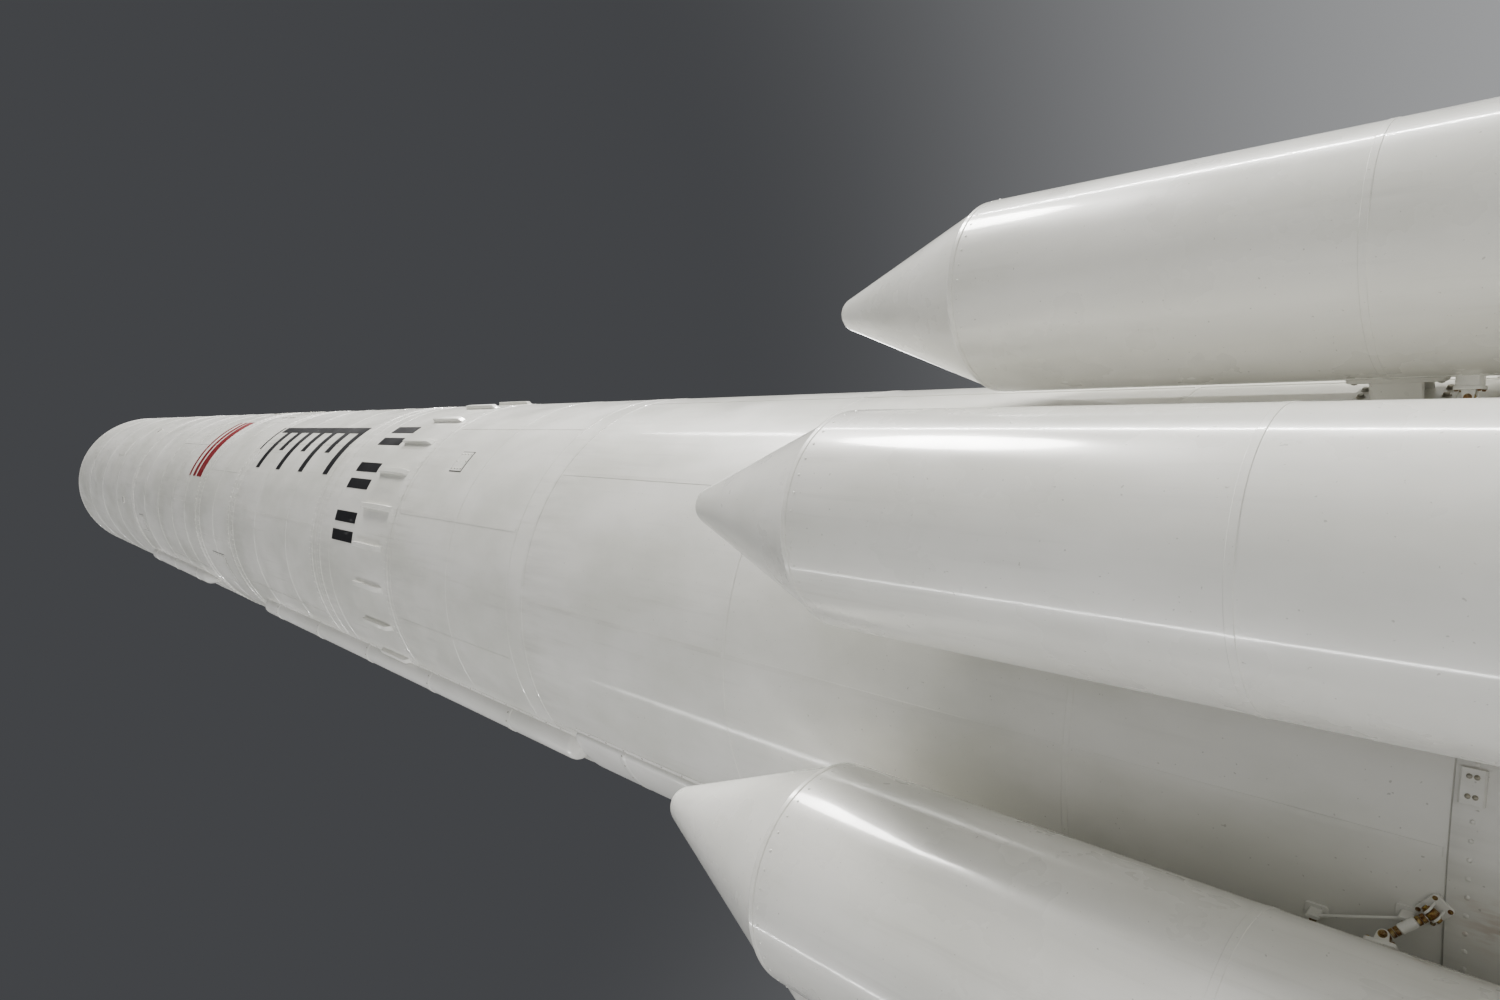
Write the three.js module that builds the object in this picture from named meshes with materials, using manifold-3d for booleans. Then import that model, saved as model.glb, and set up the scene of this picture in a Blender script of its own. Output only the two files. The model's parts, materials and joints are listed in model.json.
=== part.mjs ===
// A space rocket with a ring of nine strap-on boosters, standing on its base ring.
// Millimetres, +Z up. The origin is the centre of the base ring's lower face.
// The middle booster of the front side stands at -Y.
import * as THREE from "three";
import { mergeVertices } from "three/addons/utils/BufferGeometryUtils.js";
import Module from "manifold-3d";

const wasm = await Module();
wasm.setup();

// Core: one diameter from the engine section to the fairing
const CORE_RADIUS = 1220;
const CORE_SIDES = 54;
const SEAT_GAP = 0.3;
const ENGINE_SECTION_TOP = 1974;
const OXIDISER_TANK_TOP = 7968;
const CENTER_BODY_TOP = 9521;
const FUEL_TANK_TOP = 12100;
const INTERSTAGE_TOP = 13483;
const SECOND_STAGE_TOP = 17300;

// Engine section: an open skirt under a closed deck
const SKIRT_RADIUS = 1228;
const SKIRT_WALL = 40;
const BASE_RING = { outer: 1255, inner: 1150, height: 60 };
const DECK_THICKNESS = 74;
const THRUST_BEAM = { width: 120, height: 160 };

// Blocks around the centre body
const BLOCK = { bottom: 8144, top: 8634, width: 40, proud: 30, bevel: 60, sunk: 30 };
const BLOCK_COUNT = 26;
const FIRST_BLOCK_ANGLE = -136.4;

// Raceways: half-round covers in two lengths, on opposite sides, with a wide flat cover below
const RACEWAY = { radius: 88, endRadius: 26, sides: 16 };
const FLAT_COVER = { halfWidth: 155, proud: 40, bottom: 2380, top: 5960, bevel: 90 };
const RACEWAY_ANGLE = -155.7;
const RACEWAY_LENGTHS = [
  { name: "lower", bottom: 5930, top: 11880, lowBevel: 40, highBevel: 200 },
  { name: "upper", bottom: 13800, top: 17250, lowBevel: 360, highBevel: 170 },
];
const RACEWAY_SIDES = [
  { name: "left", turn: 0 },
  { name: "right", turn: 180 },
];

// Fairing: a cylinder, a cone and a round tip, in two hinged halves
const FAIRING = { shoulder: 22340, coneAngle: 20, tipRadius: 300, tipSteps: 5, wall: 40 };
const FAIRING_BASE_GAP = 6;
const FAIRING_SPLIT_GAP = 6;
const FAIRING_FOOT_WIDTH = 160;

// Third stage, inside the fairing
const SPIN_TABLE = { radius: 500, height: 250 };
const THIRD_STAGE = { radius: 670, length: 2340, edge: 120 };
const PAYLOAD_ADAPTER = { top: 480, height: 300 };

// Boosters
const BOOSTER_COUNT = 9;
const BOOSTER_STEP = 360 / BOOSTER_COUNT;
const BOOSTER_SIDES = 18;
const BOOSTER_CIRCLE = 1660;
const BOOSTER_RADIUS = 351;
const BOOSTER_CASE = { bottom: 620, top: 3474, skirt: 180, skirtProud: 7 };
const BOOSTER_TIP = { height: 4186, radius: 75, steps: 4 };
const BOOSTER_CANT = 8;
const BOOSTER_NOZZLE = {
  throat: 85, neck: 110, neckHeight: 40, exit: 195, length: 470, wall: 12, inside: 60, sides: 12,
};
const BOOSTER_BELL = { throatShare: 0.3, middleShare: 0.62, reach: 400 };
const JOINT_SUNK = 60;
const THRUST_FITTING = { bottom: 2190, top: 2320, width: 150 };
const STRUT_RADIUS = 14;
const STRUT_SPREAD = 10.6;
const STRUT_FOOT = { side: 150, sunk: 30 };
const STRUTS = [
  { boosterHeight: 2070, coreHeight: 1992 },
  { boosterHeight: 760, coreHeight: 660 },
];

// Main engine: it swings on a gimbal block between two forks
const GIMBAL = { height: 1640, block: 100, blockHeight: 70, earGap: 25, ear: 22, earWidth: 70 };
const EAR_OVERLAP = 20;
const PIN = { radius: 22, gap: 0.5 };
const ENGINE = {
  head: 1555, headRim: 25, headHeight: 60, chamber: 190, chamberBottom: 1290,
  throat: 125, throatHeight: 1120, floor: 20, exit: 520, exitHeight: 200, wall: 16, sides: 32,
};
const BELL_POWER = 0.62;
const BELL_STATIONS = [0.12, 0.3, 0.55, 0.8, 1];
const TURBOPUMP = {
  radius: 120, offset: 345, bottom: 1180, top: 1500, pipe: 45, pipeInset: 60, lowerRise: 130, sides: 20,
};

// Vernier engines on the two sides of the skirt
const VERNIER = {
  offset: 1010, height: 560, length: 340, throat: 30, throatShare: 0.5, floor: 12, exit: 72,
  middle: 57, middleShare: 0.72, wall: 6, chamber: 48, chamberShare: 0.35, sides: 16,
};
const VERNIER_CHEEK = { gap: 62, thickness: 14, width: 80, drop: 55, rise: 80, arm: 40 };

const PAINT = { color: 0xd8d5cb, roughness: 0.42, metalness: 0.0 };
const COVER_PAINT = { color: 0xdedbd2, roughness: 0.4, metalness: 0.0 };
const MOTOR_PAINT = { color: 0xb9bbb8, roughness: 0.5, metalness: 0.1 };
const STEEL = { color: 0x77787a, roughness: 0.4, metalness: 0.8 };
const DARK_NOZZLE = { color: 0x3a3835, roughness: 0.7, metalness: 0.2 };

const rocket = new THREE.Group();
rocket.name = "space_rocket";

function radians(degrees) {
  return THREE.MathUtils.degToRad(degrees);
}

// Solids
function toSolid(geometry) {
  const plain = geometry.clone();
  plain.deleteAttribute("normal");
  plain.deleteAttribute("uv");
  const merged = mergeVertices(plain, 1e-3);
  return new wasm.Manifold(
    new wasm.Mesh({
      numProp: 3,
      vertProperties: merged.attributes.position.array,
      triVerts: new Uint32Array(merged.index.array),
    }),
  );
}

function toGeometry(solid) {
  const mesh = solid.getMesh();
  const positions = new THREE.BufferAttribute(new Float32Array(mesh.vertProperties), 3);
  const triangles = new THREE.BufferAttribute(new Uint32Array(mesh.triVerts), 1);
  const geometry = new THREE.BufferGeometry();
  geometry.setAttribute("position", positions);
  geometry.setIndex(triangles);
  geometry.computeVertexNormals();
  return geometry;
}

function joined(solids) {
  return solids.reduce((sum, solid) => sum.add(solid));
}

// A profile of [radius, height] points turned around the Z axis
function turned(profile, sides) {
  const points = profile.map(([radius, height]) => new THREE.Vector2(radius, height));
  const geometry = new THREE.LatheGeometry(points, sides);
  geometry.rotateX(Math.PI / 2);
  return geometry;
}

function turnedSolid(profile, sides) {
  return toSolid(turned(profile, sides));
}

function boxSolid(low, high) {
  const size = low.map((value, axis) => high[axis] - value);
  const geometry = new THREE.BoxGeometry(...size);
  geometry.translate(...low.map((value, axis) => value + size[axis] / 2));
  return toSolid(geometry);
}

// A round rod from one point to another
function rodSolid(start, end, radius, sides = 8) {
  const from = new THREE.Vector3(...start);
  const along = new THREE.Vector3(...end).sub(from);
  const geometry = new THREE.CylinderGeometry(radius, radius, along.length(), sides);
  const turn = new THREE.Quaternion().setFromUnitVectors(
    new THREE.Vector3(0, 1, 0),
    along.clone().normalize(),
  );
  geometry.applyQuaternion(turn);
  geometry.translate(...from.addScaledVector(along, 0.5).toArray());
  return toSolid(geometry);
}

function addPart(parent, name, geometry, finish) {
  const mesh = new THREE.Mesh(geometry, new THREE.MeshStandardMaterial(finish));
  mesh.name = name;
  parent.add(mesh);
  return mesh;
}

// Points of an arc, from one angle to another in degrees, with the last point included
function arc(centre, radius, from, to, steps) {
  const points = [];
  for (let step = 0; step <= steps; step += 1) {
    const angle = radians(from + ((to - from) * step) / steps);
    const place = [centre[0] + radius * Math.cos(angle), centre[1] + radius * Math.sin(angle)];
    points.push(place);
  }
  return points;
}

// A point on a circle around the core, at an angle in degrees
function around(radius, angle, height) {
  const turn = radians(angle);
  return [radius * Math.cos(turn), radius * Math.sin(turn), height];
}

function corePlug(radius, bottom, top) {
  return turnedSolid([[0, bottom], [radius, bottom], [radius, top], [0, top]], CORE_SIDES);
}

// Engine section: skirt, base ring, deck, thrust beams, gimbal fork and vernier cheeks
function skirtSolid() {
  const inside = SKIRT_RADIUS - SKIRT_WALL;
  const deckBottom = ENGINE_SECTION_TOP - DECK_THICKNESS;
  const profile = [
    [0, deckBottom],
    [inside, deckBottom],
    [inside, BASE_RING.height],
    [BASE_RING.inner, BASE_RING.height],
    [BASE_RING.inner, 0],
    [BASE_RING.outer, 0],
    [BASE_RING.outer, BASE_RING.height],
    [SKIRT_RADIUS, BASE_RING.height],
    [SKIRT_RADIUS, ENGINE_SECTION_TOP],
    [0, ENGINE_SECTION_TOP],
  ];
  return turnedSolid(profile, CORE_SIDES);
}

function thrustFrame() {
  const reach = SKIRT_RADIUS - SKIRT_WALL / 2;
  const half = THRUST_BEAM.width / 2;
  const top = ENGINE_SECTION_TOP - DECK_THICKNESS / 2;
  const bottom = ENGINE_SECTION_TOP - DECK_THICKNESS - THRUST_BEAM.height;
  const room = corePlug(reach, bottom - 1, top + 1);
  const acrossX = boxSolid([-reach, -half, bottom], [reach, half, top]);
  const acrossY = boxSolid([-half, -reach, bottom], [half, reach, top]);
  return acrossX.add(acrossY).intersect(room);
}

// Two ears of a fork, either side of the gimbal block, along X or along Y
function forkEars(alongX, low, high) {
  const inner = GIMBAL.block / 2 + GIMBAL.earGap;
  const outer = inner + GIMBAL.ear;
  const half = GIMBAL.earWidth / 2;
  const ears = [];
  for (const side of [-1, 1]) {
    const near = Math.min(side * inner, side * outer);
    const far = Math.max(side * inner, side * outer);
    const ear = alongX
      ? boxSolid([near, -half, low], [far, half, high])
      : boxSolid([-half, near, low], [half, far, high]);
    ears.push(ear);
  }
  return joined(ears);
}

function vernierCheeks(side) {
  const { gap, thickness, width, drop, rise, arm: armHeight } = VERNIER_CHEEK;
  const low = VERNIER.height - drop;
  const armBottom = VERNIER.height + rise;
  const top = armBottom + armHeight;
  const half = width / 2;
  const inner = VERNIER.offset - gap - thickness;
  const outer = VERNIER.offset + gap;
  const wall = SKIRT_RADIUS - SKIRT_WALL / 2;
  const arm = [inner, wall, armBottom, top];
  const nearCheek = [inner, inner + thickness, low, top];
  const farCheek = [outer, outer + thickness, low, top];
  const plates = [arm, nearCheek, farCheek].map(([x0, x1, z0, z1]) => {
    const xs = [side * x0, side * x1].sort((a, b) => a - b);
    return boxSolid([xs[0], -half, z0], [xs[1], half, z1]);
  });
  return joined(plates);
}

function addEngineSection() {
  const beamBottom = ENGINE_SECTION_TOP - DECK_THICKNESS - THRUST_BEAM.height;
  const fork = forkEars(true, GIMBAL.height - GIMBAL.earWidth / 2, beamBottom + EAR_OVERLAP);
  const solid = joined([
    skirtSolid(),
    thrustFrame(),
    fork,
    vernierCheeks(-1),
    vernierCheeks(1),
  ]);
  addPart(rocket, "engine_section", toGeometry(solid), PAINT);
}

// Plain lengths of the core
const CORE_SECTIONS = [
  { name: "oxidiser_tank", bottom: ENGINE_SECTION_TOP, top: OXIDISER_TANK_TOP },
  { name: "fuel_tank", bottom: CENTER_BODY_TOP, top: FUEL_TANK_TOP },
  { name: "interstage", bottom: FUEL_TANK_TOP, top: INTERSTAGE_TOP },
];

function addCoreSections() {
  for (const { name, bottom, top } of CORE_SECTIONS) {
    const length = top - bottom - SEAT_GAP;
    const profile = [[0, 0], [CORE_RADIUS, 0], [CORE_RADIUS, length], [0, length]];
    const section = addPart(rocket, name, turned(profile, CORE_SIDES), PAINT);
    section.position.z = bottom + SEAT_GAP;
  }
}

// One block: a bar whose lower end slopes back to the skin
function blockSolid(angle) {
  const outer = CORE_RADIUS + BLOCK.proud;
  const inner = CORE_RADIUS - BLOCK.sunk;
  const side = new THREE.Shape();
  side.moveTo(inner, BLOCK.bottom);
  side.lineTo(CORE_RADIUS, BLOCK.bottom);
  side.lineTo(outer, BLOCK.bottom + BLOCK.bevel);
  side.lineTo(outer, BLOCK.top);
  side.lineTo(inner, BLOCK.top);
  const geometry = new THREE.ExtrudeGeometry(side, { depth: BLOCK.width, bevelEnabled: false });
  geometry.translate(0, 0, -BLOCK.width / 2);
  geometry.rotateX(Math.PI / 2);
  geometry.rotateZ(radians(angle));
  return toSolid(geometry);
}

function addCenterBody() {
  const body = corePlug(CORE_RADIUS, OXIDISER_TANK_TOP + SEAT_GAP, CENTER_BODY_TOP);
  const blocks = [];
  for (let place = 0; place < BLOCK_COUNT; place += 1) {
    blocks.push(blockSolid(FIRST_BLOCK_ANGLE + (360 / BLOCK_COUNT) * place));
  }
  addPart(rocket, "center_body", toGeometry(joined([body, ...blocks])), PAINT);
}

function addSecondStage() {
  const length = SECOND_STAGE_TOP - INTERSTAGE_TOP - SEAT_GAP;
  const profile = [
    [0, 0],
    [CORE_RADIUS, 0],
    [CORE_RADIUS, length],
    [SPIN_TABLE.radius, length],
    [SPIN_TABLE.radius, length + SPIN_TABLE.height],
    [0, length + SPIN_TABLE.height],
  ];
  const stage = addPart(rocket, "second_stage", turned(profile, CORE_SIDES), PAINT);
  stage.position.z = INTERSTAGE_TOP + SEAT_GAP;
}

function addThirdStage() {
  const { radius, length, edge } = THIRD_STAGE;
  const motorProfile = [
    [0, 0],
    [radius - edge, 0],
    [radius, edge],
    [radius, length],
    [0, length],
  ];
  const motor = addPart(rocket, "third_stage_motor", turned(motorProfile, CORE_SIDES), MOTOR_PAINT);
  motor.position.z = SECOND_STAGE_TOP + SPIN_TABLE.height + SEAT_GAP;
  const { top, height } = PAYLOAD_ADAPTER;
  const adapterProfile = [[0, 0], [radius, 0], [top, height], [0, height]];
  const adapter = addPart(rocket, "payload_adapter", turned(adapterProfile, CORE_SIDES), MOTOR_PAINT);
  adapter.position.z = motor.position.z + length + SEAT_GAP;
}

// The fairing's outline at a distance inside its outer surface, from the base to the axis
function fairingOutline(inset, base) {
  const angle = radians(FAIRING.coneAngle);
  const tip = FAIRING.tipRadius;
  const alongCone = (CORE_RADIUS - tip * Math.cos(angle)) / Math.tan(angle);
  const tipCentre = FAIRING.shoulder + alongCone - tip * Math.sin(angle);
  const shoulder = FAIRING.shoulder - inset * Math.tan(angle / 2);
  const cap = arc([0, tipCentre], tip - inset, FAIRING.coneAngle, 90, FAIRING.tipSteps);
  cap[cap.length - 1][0] = 0;
  return [[CORE_RADIUS - inset, base], [CORE_RADIUS - inset, shoulder], ...cap];
}

const FAIRING_HALVES = [
  { name: "fairing_half_front", side: -1 },
  { name: "fairing_half_rear", side: 1 },
];

function addFairing() {
  const base = SECOND_STAGE_TOP + FAIRING_BASE_GAP;
  const outside = fairingOutline(0, base);
  const inside = fairingOutline(FAIRING.wall, base).reverse();
  const shell = turnedSolid([...inside, ...outside], CORE_SIDES);
  const foot = turnedSolid(
    [
      [CORE_RADIUS - FAIRING.wall, SECOND_STAGE_TOP + SEAT_GAP],
      [CORE_RADIUS, SECOND_STAGE_TOP + SEAT_GAP],
      [CORE_RADIUS, base + FAIRING.wall],
      [CORE_RADIUS - FAIRING.wall, base + FAIRING.wall],
      [CORE_RADIUS - FAIRING.wall, SECOND_STAGE_TOP + SEAT_GAP],
    ],
    CORE_SIDES,
  );
  const reach = CORE_RADIUS * 2;
  const top = FAIRING.shoulder + reach * 2;
  for (const { name, side } of FAIRING_HALVES) {
    const near = (side * FAIRING_SPLIT_GAP) / 2;
    const far = side * reach;
    const ys = [near, far].sort((a, b) => a - b);
    const halfSpace = boxSolid([-reach, ys[0], 0], [reach, ys[1], top]);
    const footSpace = boxSolid(
      [-FAIRING_FOOT_WIDTH / 2, ys[0], 0],
      [FAIRING_FOOT_WIDTH / 2, ys[1], top],
    );
    const half = shell.intersect(halfSpace).add(foot.intersect(footSpace));
    addPart(rocket, name, toGeometry(half), PAINT);
  }
}

// Raceway covers: bars with sloping ends, cut back to the skin
function barSolid(radius, endRadius, bottom, top, lowBevel, highBevel) {
  const profile = [
    [0, bottom],
    [endRadius, bottom],
    [radius, bottom + lowBevel],
    [radius, top - highBevel],
    [endRadius, top],
    [0, top],
  ];
  return turnedSolid(profile, RACEWAY.sides);
}

function racewaySolid({ name, bottom, top, lowBevel, highBevel }, turn) {
  let bar = barSolid(RACEWAY.radius, RACEWAY.endRadius, bottom, top, lowBevel, highBevel);
  if (name === "lower") {
    const { halfWidth, proud, bottom: flatBottom, top: flatTop, bevel } = FLAT_COVER;
    const flat = barSolid(halfWidth, halfWidth - bevel, flatBottom, flatTop, bevel, bevel);
    bar = bar.add(flat.scale([1, proud / halfWidth, 1]));
  }
  const cover = bar.translate([0, -CORE_RADIUS, 0]).rotate([0, 0, turn]);
  return cover.subtract(corePlug(CORE_RADIUS + SEAT_GAP, 0, top + 1));
}

function addRaceways() {
  for (const length of RACEWAY_LENGTHS) {
    for (const side of RACEWAY_SIDES) {
      const cover = racewaySolid(length, RACEWAY_ANGLE + 90 + side.turn);
      addPart(rocket, `raceway_${length.name}_${side.name}`, toGeometry(cover), COVER_PAINT);
    }
  }
}

// Boosters: each is built on the -Y side and turned to its place
function boosterCaseSolid() {
  const { bottom, top, skirt, skirtProud } = BOOSTER_CASE;
  const shell = turnedSolid(
    [
      [0, bottom],
      [BOOSTER_RADIUS + skirtProud, bottom],
      [BOOSTER_RADIUS + skirtProud, bottom + skirt],
      [BOOSTER_RADIUS, bottom + skirt],
      [BOOSTER_RADIUS, top],
      [0, top],
    ],
    BOOSTER_SIDES,
  ).translate([0, -BOOSTER_CIRCLE, 0]);
  const innerFace = -BOOSTER_CIRCLE + BOOSTER_RADIUS;
  const fitting = boxSolid(
    [-THRUST_FITTING.width / 2, innerFace - JOINT_SUNK, THRUST_FITTING.bottom],
    [THRUST_FITTING.width / 2, -CORE_RADIUS + JOINT_SUNK, THRUST_FITTING.top],
  );
  const struts = [];
  for (const { boosterHeight, coreHeight } of STRUTS) {
    for (const side of [-1, 1]) {
      const start = [side * STRUT_FOOT.side, innerFace - JOINT_SUNK, boosterHeight];
      const end = around(CORE_RADIUS - STRUT_FOOT.sunk, -90 + side * STRUT_SPREAD, coreHeight);
      struts.push(rodSolid(start, end, STRUT_RADIUS));
    }
  }
  const core = corePlug(CORE_RADIUS + SEAT_GAP, 0, top);
  const skirtPlug = corePlug(SKIRT_RADIUS + SEAT_GAP, 0, ENGINE_SECTION_TOP);
  return joined([shell, fitting, ...struts]).subtract(core).subtract(skirtPlug);
}

function boosterNoseGeometry() {
  const { height, radius, steps } = BOOSTER_TIP;
  const base = BOOSTER_CASE.top + SEAT_GAP;
  const coneAngle = tangentAngle(BOOSTER_RADIUS, radius, height - base);
  const cap = arc([0, height - base], radius, coneAngle, 90, steps);
  cap[cap.length - 1][0] = 0;
  return turned([[0, 0], [BOOSTER_RADIUS, 0], ...cap], BOOSTER_SIDES);
}

// The angle where a cone from a base circle touches its tip sphere, in degrees
function tangentAngle(baseRadius, tipRadius, centreHeight) {
  const reach = Math.hypot(baseRadius, centreHeight);
  const slope = Math.atan2(centreHeight, baseRadius);
  return THREE.MathUtils.radToDeg(Math.acos(tipRadius / reach) - slope);
}

function boosterNozzleSolid() {
  const { throat, neck, neckHeight, exit, length, wall, inside, sides } = BOOSTER_NOZZLE;
  const { throatShare, middleShare, reach } = BOOSTER_BELL;
  const throatHeight = -length * throatShare;
  const middle = (throat + exit) / 2;
  const middleHeight = -length * middleShare;
  const bell = turnedSolid(
    [
      [0, neckHeight],
      [0, throatHeight],
      [inside, throatHeight],
      [middle - wall, middleHeight],
      [exit - wall, -length],
      [exit, -length],
      [middle, middleHeight],
      [throat, throatHeight],
      [neck, 0],
      [neck, neckHeight],
      [0, neckHeight],
    ],
    sides,
  );
  const below = boxSolid([-reach, -reach, -length - reach], [reach, reach, -SEAT_GAP]);
  return bell.rotate([-BOOSTER_CANT, 0, 0]).intersect(below);
}

function addBoosters() {
  const caseGeometry = toGeometry(boosterCaseSolid());
  const noseGeometry = boosterNoseGeometry();
  const nozzleGeometry = toGeometry(boosterNozzleSolid());
  for (let place = 0; place < BOOSTER_COUNT; place += 1) {
    const booster = new THREE.Group();
    booster.rotation.z = radians(place * BOOSTER_STEP);
    rocket.add(booster);
    const number = place + 1;
    addPart(booster, `booster_case_${number}`, caseGeometry, PAINT);
    const nose = addPart(booster, `booster_nose_${number}`, noseGeometry, PAINT);
    nose.position.set(0, -BOOSTER_CIRCLE, BOOSTER_CASE.top + SEAT_GAP);
    const nozzle = addPart(booster, `booster_nozzle_${number}`, nozzleGeometry, DARK_NOZZLE);
    nozzle.position.set(0, -BOOSTER_CIRCLE, BOOSTER_CASE.bottom);
  }
}

// Gimbal block: pins along X meet the thrust frame's ears, pins along Y meet the engine's ears
function addGimbalBlock() {
  const half = GIMBAL.block / 2;
  const rise = GIMBAL.blockHeight / 2;
  const pinEnd = half + GIMBAL.earGap - PIN.gap;
  const solid = joined([
    boxSolid([-half, -half, -rise], [half, half, rise]),
    rodSolid([-pinEnd, 0, 0], [pinEnd, 0, 0], PIN.radius),
    rodSolid([0, -pinEnd, 0], [0, pinEnd, 0], PIN.radius),
  ]);
  const block = addPart(rocket, "gimbal_block", toGeometry(solid), STEEL);
  block.position.z = GIMBAL.height;
}

function chamberAndBell() {
  const { head, headRim, headHeight, chamber, chamberBottom, throat, throatHeight } = ENGINE;
  const { floor, exit, exitHeight, wall, sides } = ENGINE;
  const drop = throatHeight - exitHeight;
  const flare = (share) => throat + (exit - throat) * Math.pow(share, BELL_POWER);
  const outerBell = BELL_STATIONS.map((share) => [flare(share), throatHeight - drop * share]);
  const innerBell = outerBell.map(([radius, height]) => [radius - wall, height]);
  const profile = [
    [0, throatHeight - floor],
    [throat - wall, throatHeight - floor],
    ...innerBell,
    ...outerBell.reverse(),
    [throat, throatHeight],
    [chamber, chamberBottom],
    [chamber, head - headHeight],
    [chamber + headRim, head - headHeight],
    [chamber + headRim, head],
    [0, head],
  ];
  return turnedSolid(profile, sides);
}

function turbopump() {
  const { radius, offset, bottom, top, pipe, pipeInset, lowerRise, sides } = TURBOPUMP;
  const upper = top - pipeInset;
  const lower = bottom + pipeInset;
  const body = rodSolid([0, offset, bottom], [0, offset, top], radius, sides);
  const upperPipe = rodSolid([0, offset, upper], [0, 0, upper], pipe);
  const lowerPipe = rodSolid([0, offset, lower], [0, 0, ENGINE.throatHeight + lowerRise], pipe);
  return joined([body, upperPipe, lowerPipe]);
}

function addMainEngine() {
  const ears = forkEars(false, ENGINE.head - EAR_OVERLAP, GIMBAL.height + GIMBAL.earWidth / 2);
  const solid = joined([chamberAndBell(), turbopump(), ears]);
  addPart(rocket, "main_engine", toGeometry(solid), STEEL);
}

// Vernier: a small chamber on two pins that face the cheeks
function vernierSolid() {
  const { length, throat, throatShare, floor, exit, middle, middleShare, wall } = VERNIER;
  const { chamber, chamberShare, sides } = VERNIER;
  const throatHeight = -length * throatShare;
  const middleHeight = -length * middleShare;
  const bell = turnedSolid(
    [
      [0, throatHeight - floor],
      [throat - wall, throatHeight - floor],
      [middle - wall, middleHeight],
      [exit - wall, -length],
      [exit, -length],
      [middle, middleHeight],
      [throat, throatHeight],
      [chamber, -length * chamberShare],
      [chamber, chamber],
      [0, chamber],
    ],
    sides,
  );
  const pinEnd = VERNIER_CHEEK.gap - PIN.gap;
  return bell.add(rodSolid([-pinEnd, 0, 0], [pinEnd, 0, 0], PIN.radius));
}

const VERNIERS = [
  { name: "vernier_left", side: -1 },
  { name: "vernier_right", side: 1 },
];

function addVerniers() {
  for (const { name, side } of VERNIERS) {
    const vernier = addPart(rocket, name, toGeometry(vernierSolid()), STEEL);
    vernier.position.set(side * VERNIER.offset, 0, VERNIER.height);
  }
}

addEngineSection();
addCoreSections();
addCenterBody();
addSecondStage();
addThirdStage();
addFairing();
addRaceways();
addBoosters();
addGimbalBlock();
addMainEngine();
addVerniers();

export default rocket;
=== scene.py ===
import json
import math

import bpy
import numpy as np
from mathutils import Matrix, Vector


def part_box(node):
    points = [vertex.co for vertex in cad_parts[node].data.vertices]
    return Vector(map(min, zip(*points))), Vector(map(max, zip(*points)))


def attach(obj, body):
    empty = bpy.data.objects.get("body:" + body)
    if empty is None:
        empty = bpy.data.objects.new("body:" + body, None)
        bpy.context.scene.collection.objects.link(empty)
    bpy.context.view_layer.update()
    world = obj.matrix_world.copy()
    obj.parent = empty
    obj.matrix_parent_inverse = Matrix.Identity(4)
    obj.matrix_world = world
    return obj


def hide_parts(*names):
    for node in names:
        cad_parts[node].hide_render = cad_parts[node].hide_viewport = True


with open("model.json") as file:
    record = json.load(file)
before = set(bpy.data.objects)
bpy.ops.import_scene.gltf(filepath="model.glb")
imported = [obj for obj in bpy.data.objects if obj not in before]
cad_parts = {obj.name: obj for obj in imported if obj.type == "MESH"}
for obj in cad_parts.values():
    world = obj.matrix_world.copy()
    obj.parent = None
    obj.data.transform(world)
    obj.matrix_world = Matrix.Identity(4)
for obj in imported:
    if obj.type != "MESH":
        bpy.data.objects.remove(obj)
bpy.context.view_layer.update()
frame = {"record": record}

# Sizes that the frame gives
CORE_RADIUS = -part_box("fuel_tank")[0].y
CORE_NODES = ["engine_section", "oxidiser_tank", "center_body", "fuel_tank", "interstage", "second_stage"]
SEAT_GAP = 0.0003
SPIN_TABLE = {"radius": 0.500, "top": 17.55}
TOP = {name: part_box(name)[1].z for name in CORE_NODES}
TOP["second_stage"] = 17.3
BOTTOM = {name: TOP[below] + SEAT_GAP for below, name in zip(CORE_NODES, CORE_NODES[1:])}

# Sizes of the finer shapes
CORE_SIDES = 180
SKIN_STEP = 0.25
SHARP_ANGLE = 32
PATH_STEPS = 6
SKIRT = {"radius": 1.228, "inner": 1.188, "deck": 1.900}
BASE_RING = {"outer": 1.255, "inner": 1.150, "top": 0.060}
BOOSTER_COUNT = 9
BOOSTER_STEP = 360 / BOOSTER_COUNT
BOOSTER_CIRCLE = 1.660
BOOSTER_RADIUS = 0.351
BOOSTER_BOTTOM = 0.620
BOOSTER_TOP = 3.474
BOOSTER_SIDES = 96


# Outlines and profiles


def arc(across, along, radius, start, end, count):
    """Points around a centre, between two angles."""
    turns = np.radians(np.linspace(start, end, count))
    return [(across + radius * math.cos(turn), along + radius * math.sin(turn)) for turn in turns]


def circle(radius, count, across=0.0, along=0.0):
    return arc(across, along, radius, 0, 360, count + 1)[:-1]


def rectangle(near, far, low, high):
    return [(near, low), (far, low), (far, high), (near, high)]


def rounded_box(width, height, radius, steps=3):
    """The outline of a rectangle with round corners, around the origin."""
    outline = []
    for side, end, first in ((1, 1, 0), (-1, 1, 90), (-1, -1, 180), (1, -1, 270)):
        middle = (side * (width / 2 - radius), end * (height / 2 - radius))
        outline += arc(*middle, radius, first, first + 90, steps + 1)
    return outline


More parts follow.
